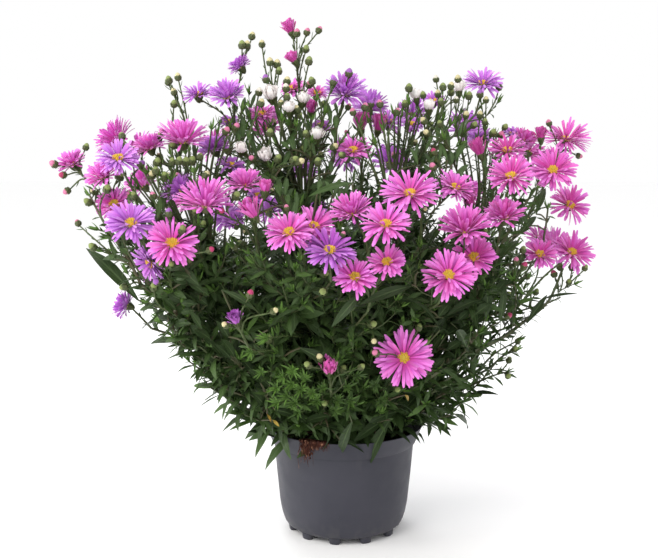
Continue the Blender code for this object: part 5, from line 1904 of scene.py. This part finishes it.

# %% [markdown]
# ## Leaf and stem
# A leaf goes from bright green when young to a dull dark green, with a pale midrib, faint side veins and
# soft blotches. Its oldest greens are darker still, as painted shade for the dense low interior where the
# old leaves sit. A stem is olive and a little brown where it is old, and ribbed along its length.

# %% Leaf and stem materials
# Leaf greens from old to young; the old end is darkened further as painted shade for the plant's interior.
LEAF_AGES_AND_SHADE = ((0.0, (0.022, 0.040, 0.013)), (0.3, (0.032, 0.059, 0.017)), (0.6, (0.054, 0.102, 0.024)),
             (1.0, (0.128, 0.252, 0.040)))
FADED_AGES = ((0.0, (0.100, 0.050, 0.022)), (0.5, (0.420, 0.240, 0.045)), (1.0, (0.560, 0.420, 0.070)))
LEAF_BLOTCH = (0.62, 0.72, 0.55)
LEAF_RIB = (0.085, 0.135, 0.050)
STEM_AGES = ((0.0, (0.070, 0.062, 0.032)), (0.4, (0.064, 0.088, 0.032)), (1.0, (0.105, 0.165, 0.048)))
STEM_RED = (0.105, 0.048, 0.034)
STEM_LINE = (0.6, 0.66, 0.5)


def make_leaf(name, colours):
    """Make a material for leaves whose colours go from old to young."""
    material, tree, blade, along, age = start_grown(name, 0.26)
    blotch = use_group(tree, blotch_group, Blade=blade, Size=5.0)["Blotch"]
    lines = use_group(tree, lines_group, Blade=blade, Lines=9.0)["Line"]
    veins = use_group(tree, veins_group, Blade=blade)
    colour = blend(tree, times(tree, blotch, 0.5), ramp(tree, age, colours), LEAF_BLOTCH, "MULTIPLY")
    colour = blend(tree, times(tree, veins["Vein"], 0.25), colour, LEAF_RIB)
    colour = blend(tree, veins["Rib"], colour, LEAF_RIB)
    height = compute(tree, "SUBTRACT", times(tree, lines, 0.3), veins["Rib"])
    height = compute(tree, "SUBTRACT", height, times(tree, veins["Vein"], 0.4))
    return finish_material(material, colour, (blotch, 0.0, 1.0, 0.42, 0.6), height, 0.35, 0.0004)


def make_stem():
    """Make the stems' material."""
    material, tree, blade, along, age = start_grown("stem_green", 0.4)
    blotch = use_group(tree, blotch_group, Blade=blade, Size=7.0)["Blotch"]
    lines = use_group(tree, lines_group, Blade=blade, Lines=7.0)["Line"]
    redness = times(tree, blotch, remap(tree, age, 0.0, 0.7, 0.6, 0.15))
    colour = blend(tree, redness, ramp(tree, age, STEM_AGES), STEM_RED)
    colour = blend(tree, times(tree, lines, 0.3), colour, STEM_LINE, "MULTIPLY")
    return finish_material(material, colour, (lines, 0.0, 1.0, 0.48, 0.64), lines, 0.4, 0.0003)


materials = {LEAF: make_leaf("leaf_green", LEAF_AGES_AND_SHADE), FADED: make_leaf("leaf_faded", FADED_AGES),
             TWIG: make_stem()}
print("materials:", [material.name for material in materials.values()])

# %% [markdown]
# ## Bud scales, bud tips and florets
# Scales are green with a paler tip and brown blotches. The tip of a bud shows the folded rays in one of
# six colours. Florets are yellow, with orange pollen on the ripe ones.

# %% Bud and floret materials
SCALE_GREENS = ((0.0, (0.055, 0.085, 0.026)), (0.7, (0.060, 0.095, 0.026)), (1.0, (0.190, 0.230, 0.080)))
SCALE_BROWN = (0.11, 0.080, 0.035)
SCALE_LINE = (0.7, 0.76, 0.6)
TIP_COLOURS = ((0.0, (0.66, 0.60, 0.33)), (0.143, (0.235, 0.305, 0.09)), (0.43, (0.68, 0.20, 0.36)),
               (0.571, (0.46, 0.04, 0.14)), (0.714, (0.34, 0.12, 0.46)), (1.0, (0.80, 0.77, 0.66)))
TIP_FOOT = (0.36, 0.40, 0.16)
TIP_LINE = (0.55, 0.5, 0.5)
YOUNG_FLORET = ((0.0, (0.42, 0.38, 0.05)), (1.0, (0.76, 0.68, 0.12)))
RIPE_FLORET = ((0.0, (0.70, 0.52, 0.06)), (0.6, (0.92, 0.74, 0.13)), (1.0, (0.88, 0.50, 0.05)))
FLORET_BLOTCH = (0.75, 0.6, 0.4)


def make_scale():
    """Make the material of the green scales."""
    material, tree, blade, along, age = start_grown("scale_green", 0.4)
    blotch = use_group(tree, blotch_group, Blade=blade, Size=4.0)["Blotch"]
    lines = use_group(tree, lines_group, Blade=blade, Lines=5.0)["Line"]
    colour = blend(tree, times(tree, blotch, 0.45), ramp(tree, along, SCALE_GREENS), SCALE_BROWN)
    colour = blend(tree, times(tree, lines, 0.3), colour, SCALE_LINE, "MULTIPLY")
    return finish_material(material, colour, (lines, 0.0, 1.0, 0.48, 0.62), lines, 0.4, 0.0002)


def make_tip():
    """Make the material of the buds' coloured tips."""
    material, tree, blade, along, age = start_grown("bud_tip", 0.35, 0.1)
    lines = use_group(tree, lines_group, Blade=blade, Lines=6.0)["Line"]
    foot = remap(tree, along, 0.0, 0.4, 0.5, 0.0)
    colour = blend(tree, foot, ramp(tree, age, TIP_COLOURS), TIP_FOOT)
    colour = blend(tree, times(tree, lines, 0.35), colour, TIP_LINE, "MULTIPLY")
    return finish_material(material, colour, (lines, 0.0, 1.0, 0.5, 0.68), lines, 0.5, 0.0003)


def make_floret():
    """Make the material of the disc's florets."""
    material, tree, blade, along, age = start_grown("floret_yellow", 0.35)
    blotch = use_group(tree, blotch_group, Blade=blade, Size=6.0)["Blotch"]
    young = ramp(tree, along, YOUNG_FLORET)
    colour = blend(tree, remap(tree, age, 0.15, 0.6), young, ramp(tree, along, RIPE_FLORET))
    colour = blend(tree, times(tree, blotch, 0.3), colour, FLORET_BLOTCH, "MULTIPLY")
    return finish_material(material, colour, (blotch, 0.0, 1.0, 0.5, 0.7), blotch, 0.4, 0.0002)


materials.update({SCALE: make_scale(), TIP: make_tip(), FLORET: make_floret()})
print("materials:", len(materials))

# %% [markdown]
# ## Rays in three colours
# A ray is deeper when it has just opened, and paler at its tip and along fine raised lines. Its foot is
# deeper and darker: partly its own colour, partly painted shade where the rays crowd round the disc.
# Its matte surface has a soft sheen at the edges.

# %% Ray materials
RAY_AGES = {
    "pink": ((0.0, (0.87, 0.145, 0.61)), (0.5, (0.80, 0.075, 0.48)), (1.0, (0.54, 0.020, 0.25))),
    "violet": ((0.0, (0.60, 0.18, 0.78)), (0.5, (0.50, 0.115, 0.67)), (1.0, (0.36, 0.040, 0.42))),
    "white": ((0.0, (0.95, 0.93, 0.91)), (0.5, (0.95, 0.92, 0.90)), (1.0, (0.94, 0.89, 0.86))),
}
# The colour at a ray's foot: partly its own deeper tone, partly painted shade round the disc.
RAY_FOOT_TONE_AND_SHADE = {"pink": (0.66, 0.040, 0.38), "violet": (0.36, 0.060, 0.48), "white": (0.88, 0.72, 0.74)}
RAY_LINE = {"pink": (0.95, 0.38, 0.90), "violet": (0.76, 0.38, 0.90), "white": (0.95, 0.94, 0.94)}
RAY_TINT = {"pink": (0.70, 0.13, 0.78), "violet": (0.68, 0.12, 0.62), "white": (0.94, 0.88, 0.90)}
RAY_BLOTCH = {"pink": (0.80, 0.68, 0.82), "violet": (0.80, 0.68, 0.82), "white": (0.98, 0.94, 0.93)}


def make_ray(name):
    """Make the material of the rays in one colour."""
    material, tree, blade, along, age = start_grown(name + "_ray", 0.3, 0.25)
    blotch = use_group(tree, blotch_group, Blade=blade, Size=3.0)["Blotch"]
    lines = use_group(tree, lines_group, Blade=blade, Lines=6.0)["Line"]
    opened = remap(tree, age, 0.6, 0.95, 1.0, 0.25)
    tint = times(tree, opened, times(tree, split_vector(tree, blade)["Z"], 0.6))
    colour = blend(tree, tint, ramp(tree, age, RAY_AGES[name]), RAY_TINT[name])
    paleness = times(tree, lines, remap(tree, age, 0.4, 0.9, 0.4, 0.12))
    colour = blend(tree, paleness, colour, RAY_LINE[name])
    colour = blend(tree, times(tree, blotch, 0.25), colour, RAY_BLOTCH[name], "MULTIPLY")
    tip = times(tree, opened, remap(tree, along, 0.45, 1.0, 0.0, 0.4))
    colour = blend(tree, tip, colour, RAY_LINE[name])
    # Painted shade, with some real deeper tone, at the foot of each ray next to the disc.
    colour = blend(tree, remap(tree, along, 0.0, 0.55, 0.75, 0.0), colour, RAY_FOOT_TONE_AND_SHADE[name])
    return finish_material(material, colour, (lines, 0.0, 1.0, 0.52, 0.7), lines, 0.5, 0.0003)


ray_materials = {name: make_ray(name) for name in RAY_AGES}
print("ray materials:", list(ray_materials))

# %% [markdown]
# ## Plastic
# The pot is blue-grey plastic, matte from fine moulding grain, with faint clouds in its colour, dust near
# the foot and small scuffs. Each is noise in the pot's own space, at its own scale.

# %% Plastic
PLASTIC_COLOURS = ((0.3, (0.029, 0.030, 0.042)), (0.7, (0.040, 0.040, 0.054)))
DUST = (0.13, 0.12, 0.11)


def solid_noise(tree, scale, detail, stretch=(1.0, 1.0, 1.0)):
    """Give noise in the object's own space, stretched if wanted."""
    place = add_node(tree, "ShaderNodeTexCoord", {}, "Object")
    place = add_node(tree, "ShaderNodeVectorMath", {0: place, 1: stretch}, operation="MULTIPLY")
    return add_node(tree, "ShaderNodeTexNoise", {"Vector": place, "Scale": scale, "Detail": detail})


def make_plastic():
    """Make the pot's material."""
    material, tree = start_material("pot_plastic", 0.35)
    clouds = solid_noise(tree, 28.0, 4.0)
    scuff = remap(tree, solid_noise(tree, 90.0, 6.0, (1.0, 1.0, 0.25)), 0.62, 0.78)
    height = split_vector(tree, add_node(tree, "ShaderNodeTexCoord", {}, "Object"))["Z"]
    low = remap(tree, height, 0.0, 0.03, 0.2, 0.0)
    dust = times(tree, low, remap(tree, solid_noise(tree, 160.0, 5.0), 0.4, 0.7))
    worn = compute(tree, "ADD", dust, times(tree, scuff, 0.12))
    colour = blend(tree, worn, ramp(tree, clouds, PLASTIC_COLOURS), DUST)
    rough = (solid_noise(tree, 60.0, 4.0), 0.3, 0.7, 0.42, 0.56)
    return finish_material(material, colour, rough, solid_noise(tree, 2200.0, 2.0), 0.12, 0.0002)


materials[PLASTIC] = make_plastic()
print("material:", materials[PLASTIC].name)

# %% [markdown]
# ## Peat and roots
# Peat is dark brown fibre with paler crumbs, and the roots are red-brown with pale patches. Both are
# noise stretched the way the fibres run, with a strong relief.

# %% Peat and roots
PEAT_BROWNS = ((0.3, (0.012, 0.007, 0.005)), (0.52, (0.040, 0.020, 0.012)), (0.72, (0.110, 0.062, 0.036)))
ROOT_BROWNS = ((0.3, (0.022, 0.008, 0.006)), (0.55, (0.075, 0.024, 0.015)), (0.75, (0.420, 0.220, 0.140)))


def make_earth(name, colours, scale, stretch, relief):
    """Make a material of crumbly fibre."""
    material, tree = start_material(name, 0.2)
    fibre = solid_noise(tree, scale, 8.0, stretch)
    colour = ramp(tree, fibre, colours)
    return finish_material(material, colour, (fibre, 0.3, 0.7, 0.8, 1.0), fibre, 0.8, relief)


materials[PEAT] = make_earth("dark_peat", PEAT_BROWNS, 420.0, (1.0, 0.6, 1.0), 0.0012)
materials[FIBRE] = make_earth("root_brown", ROOT_BROWNS, 520.0, (1.0, 1.0, 0.4), 0.0006)
print("materials:", len(materials))

# %% [markdown]
# ## Writing the pieces
# A growth becomes a mesh in one go. Its points get their surface values as attributes, and each face
# gets its kind's cell of the texture map.

# %% Write a growth as a mesh
SMOOTH_BELOW = math.radians(60)


def map_cells(mesh, values, finishes):
    """Give each kind of each finish its own cell of the texture map."""
    corners = np.empty(len(mesh.loops), int)
    mesh.loops.foreach_get("vertex_index", corners)
    rows = values[corners]
    place = np.zeros(FADED + 1, int)
    place[finishes] = np.arange(len(finishes))
    cell = place[rows[:, 3].astype(int)] * AGES * VARIATIONS + rows[:, 2].astype(int)
    across_map = math.ceil(math.sqrt(len(finishes) * AGES * VARIATIONS))
    inner = CELL_MARGIN + (1 - 2 * CELL_MARGIN) * rows[:, :2]
    corner = np.stack([cell % across_map, cell // across_map], -1)
    mesh.uv_layers.new(name="OFBake").data.foreach_set("uv", ((corner + inner) / across_map).ravel())


def write_mesh(growth, finishes, mapped=True):
    """Turn a growth into an object."""
    values = np.concatenate(growth.values)
    points = np.concatenate(growth.points) * METRES
    faces = [face for group, finish in growth.faces for face in group.tolist()]
    mesh = bpy.data.meshes.new(growth.name)
    mesh.from_pydata(points.tolist(), [], faces)
    slots = [np.full(len(group), finishes.index(finish)) for group, finish in growth.faces]
    mesh.polygons.foreach_set("material_index", np.concatenate(slots))
    kinds = values[:, 2]
    blade = np.stack([values[:, 0], values[:, 1], kinds % VARIATIONS / VARIATIONS], -1)
    mesh.attributes.new("blade", "FLOAT_VECTOR", "POINT").data.foreach_set("vector", blade.ravel())
    age = kinds // VARIATIONS / (AGES - 1)
    mesh.attributes.new("age", "FLOAT", "POINT").data.foreach_set("value", age)
    if mapped:
        map_cells(mesh, values, finishes)
    mesh.shade_smooth()
    mesh.set_sharp_from_angle(angle=SMOOTH_BELOW)
    piece = bpy.data.objects.new(growth.name, mesh)
    bpy.context.scene.collection.objects.link(piece)
    return piece


print("edges stay smooth below", round(math.degrees(SMOOTH_BELOW)), "degrees")

# %% [markdown]
# Each piece rides on the plant's one body and replaces the solid that it stands for. The small pieces,
# such as buds and stalks, stand for none.

# %% Write the plant's pieces
def finish_piece(piece, looks, replaced=()):
    """Give a piece its materials, its body and the nodes that it stands for."""
    for look in looks:
        piece.data.materials.append(look)
    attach(piece, "root")
    if replaced:
        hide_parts(*replaced)
    written.append(piece)


def write_piece(growth, finishes, replaced=()):
    """Write a growth as a piece with the materials of its finishes."""
    looks = [materials[finish] for finish in finishes]
    finish_piece(write_mesh(growth, finishes), looks, replaced)


written = []
for stem in stems:
    write_piece(stem.foliage, [LEAF, TWIG], [stem.name])
    if stem.buds.points:
        write_piece(stem.buds, [LEAF, TWIG, SCALE, TIP])
for truss in trusses:
    petals = write_mesh(truss.petals, [RAY])
    finish_piece(petals, [ray_materials[truss.colour]], [truss.name])
    write_piece(truss.stalks, [LEAF, TWIG, SCALE])
    if truss.discs.points:
        write_piece(truss.discs, [FLORET])
print("pieces of the plant:", len(written))

# %% [markdown]
# The drain holes are cut from the pot's floor, and the nubs are melted onto it, with Boolean modifiers.

# %% Write the pot, the peat and the roots
DRAIN_COUNT = 4
DRAIN_RADIUS = 4.5
DRAIN_RING = 24.0
SHARP_CORNER = math.radians(40)


def combine(item, other, operation):
    """Apply a Boolean modifier and remove the other object."""
    change = item.modifiers.new(operation, "BOOLEAN")
    change.operation = operation
    change.object = other
    change.solver = "MANIFOLD"
    evaluated = item.evaluated_get(bpy.context.evaluated_depsgraph_get())
    mesh = bpy.data.meshes.new_from_object(evaluated)
    item.modifiers.clear()
    item.data = mesh
    bpy.data.objects.remove(other)


drains = Growth("drains")
for number in range(DRAIN_COUNT):
    angle = 2 * math.pi * number / DRAIN_COUNT
    middle = np.array((math.cos(angle) * DRAIN_RING, math.sin(angle) * DRAIN_RING, 0.0))
    add_closed(drains, PLASTIC, middle + turn_rings(((DRAIN_RADIUS, 2.0), (DRAIN_RADIUS, 9.0)), 32))
nursery_pot = write_mesh(pot, [PLASTIC], False)
combine(nursery_pot, write_mesh(nubs, [PLASTIC], False), "UNION")
combine(nursery_pot, write_mesh(drains, [PLASTIC], False), "DIFFERENCE")
nursery_pot.data.shade_smooth()
nursery_pot.data.set_sharp_from_angle(angle=SHARP_CORNER)
nursery_pot.data.materials.clear()
finish_piece(nursery_pot, [materials[PLASTIC]], ["pot"])
finish_piece(write_mesh(peat, [PEAT], False), [materials[PEAT]], ["soil"])
write_piece(tuft, [FIBRE])
write_piece(faded, [FADED])
triangles = sum(len(polygon.vertices) - 2 for piece in written for polygon in piece.data.polygons)
print("pieces:", len(written), "triangles:", triangles)
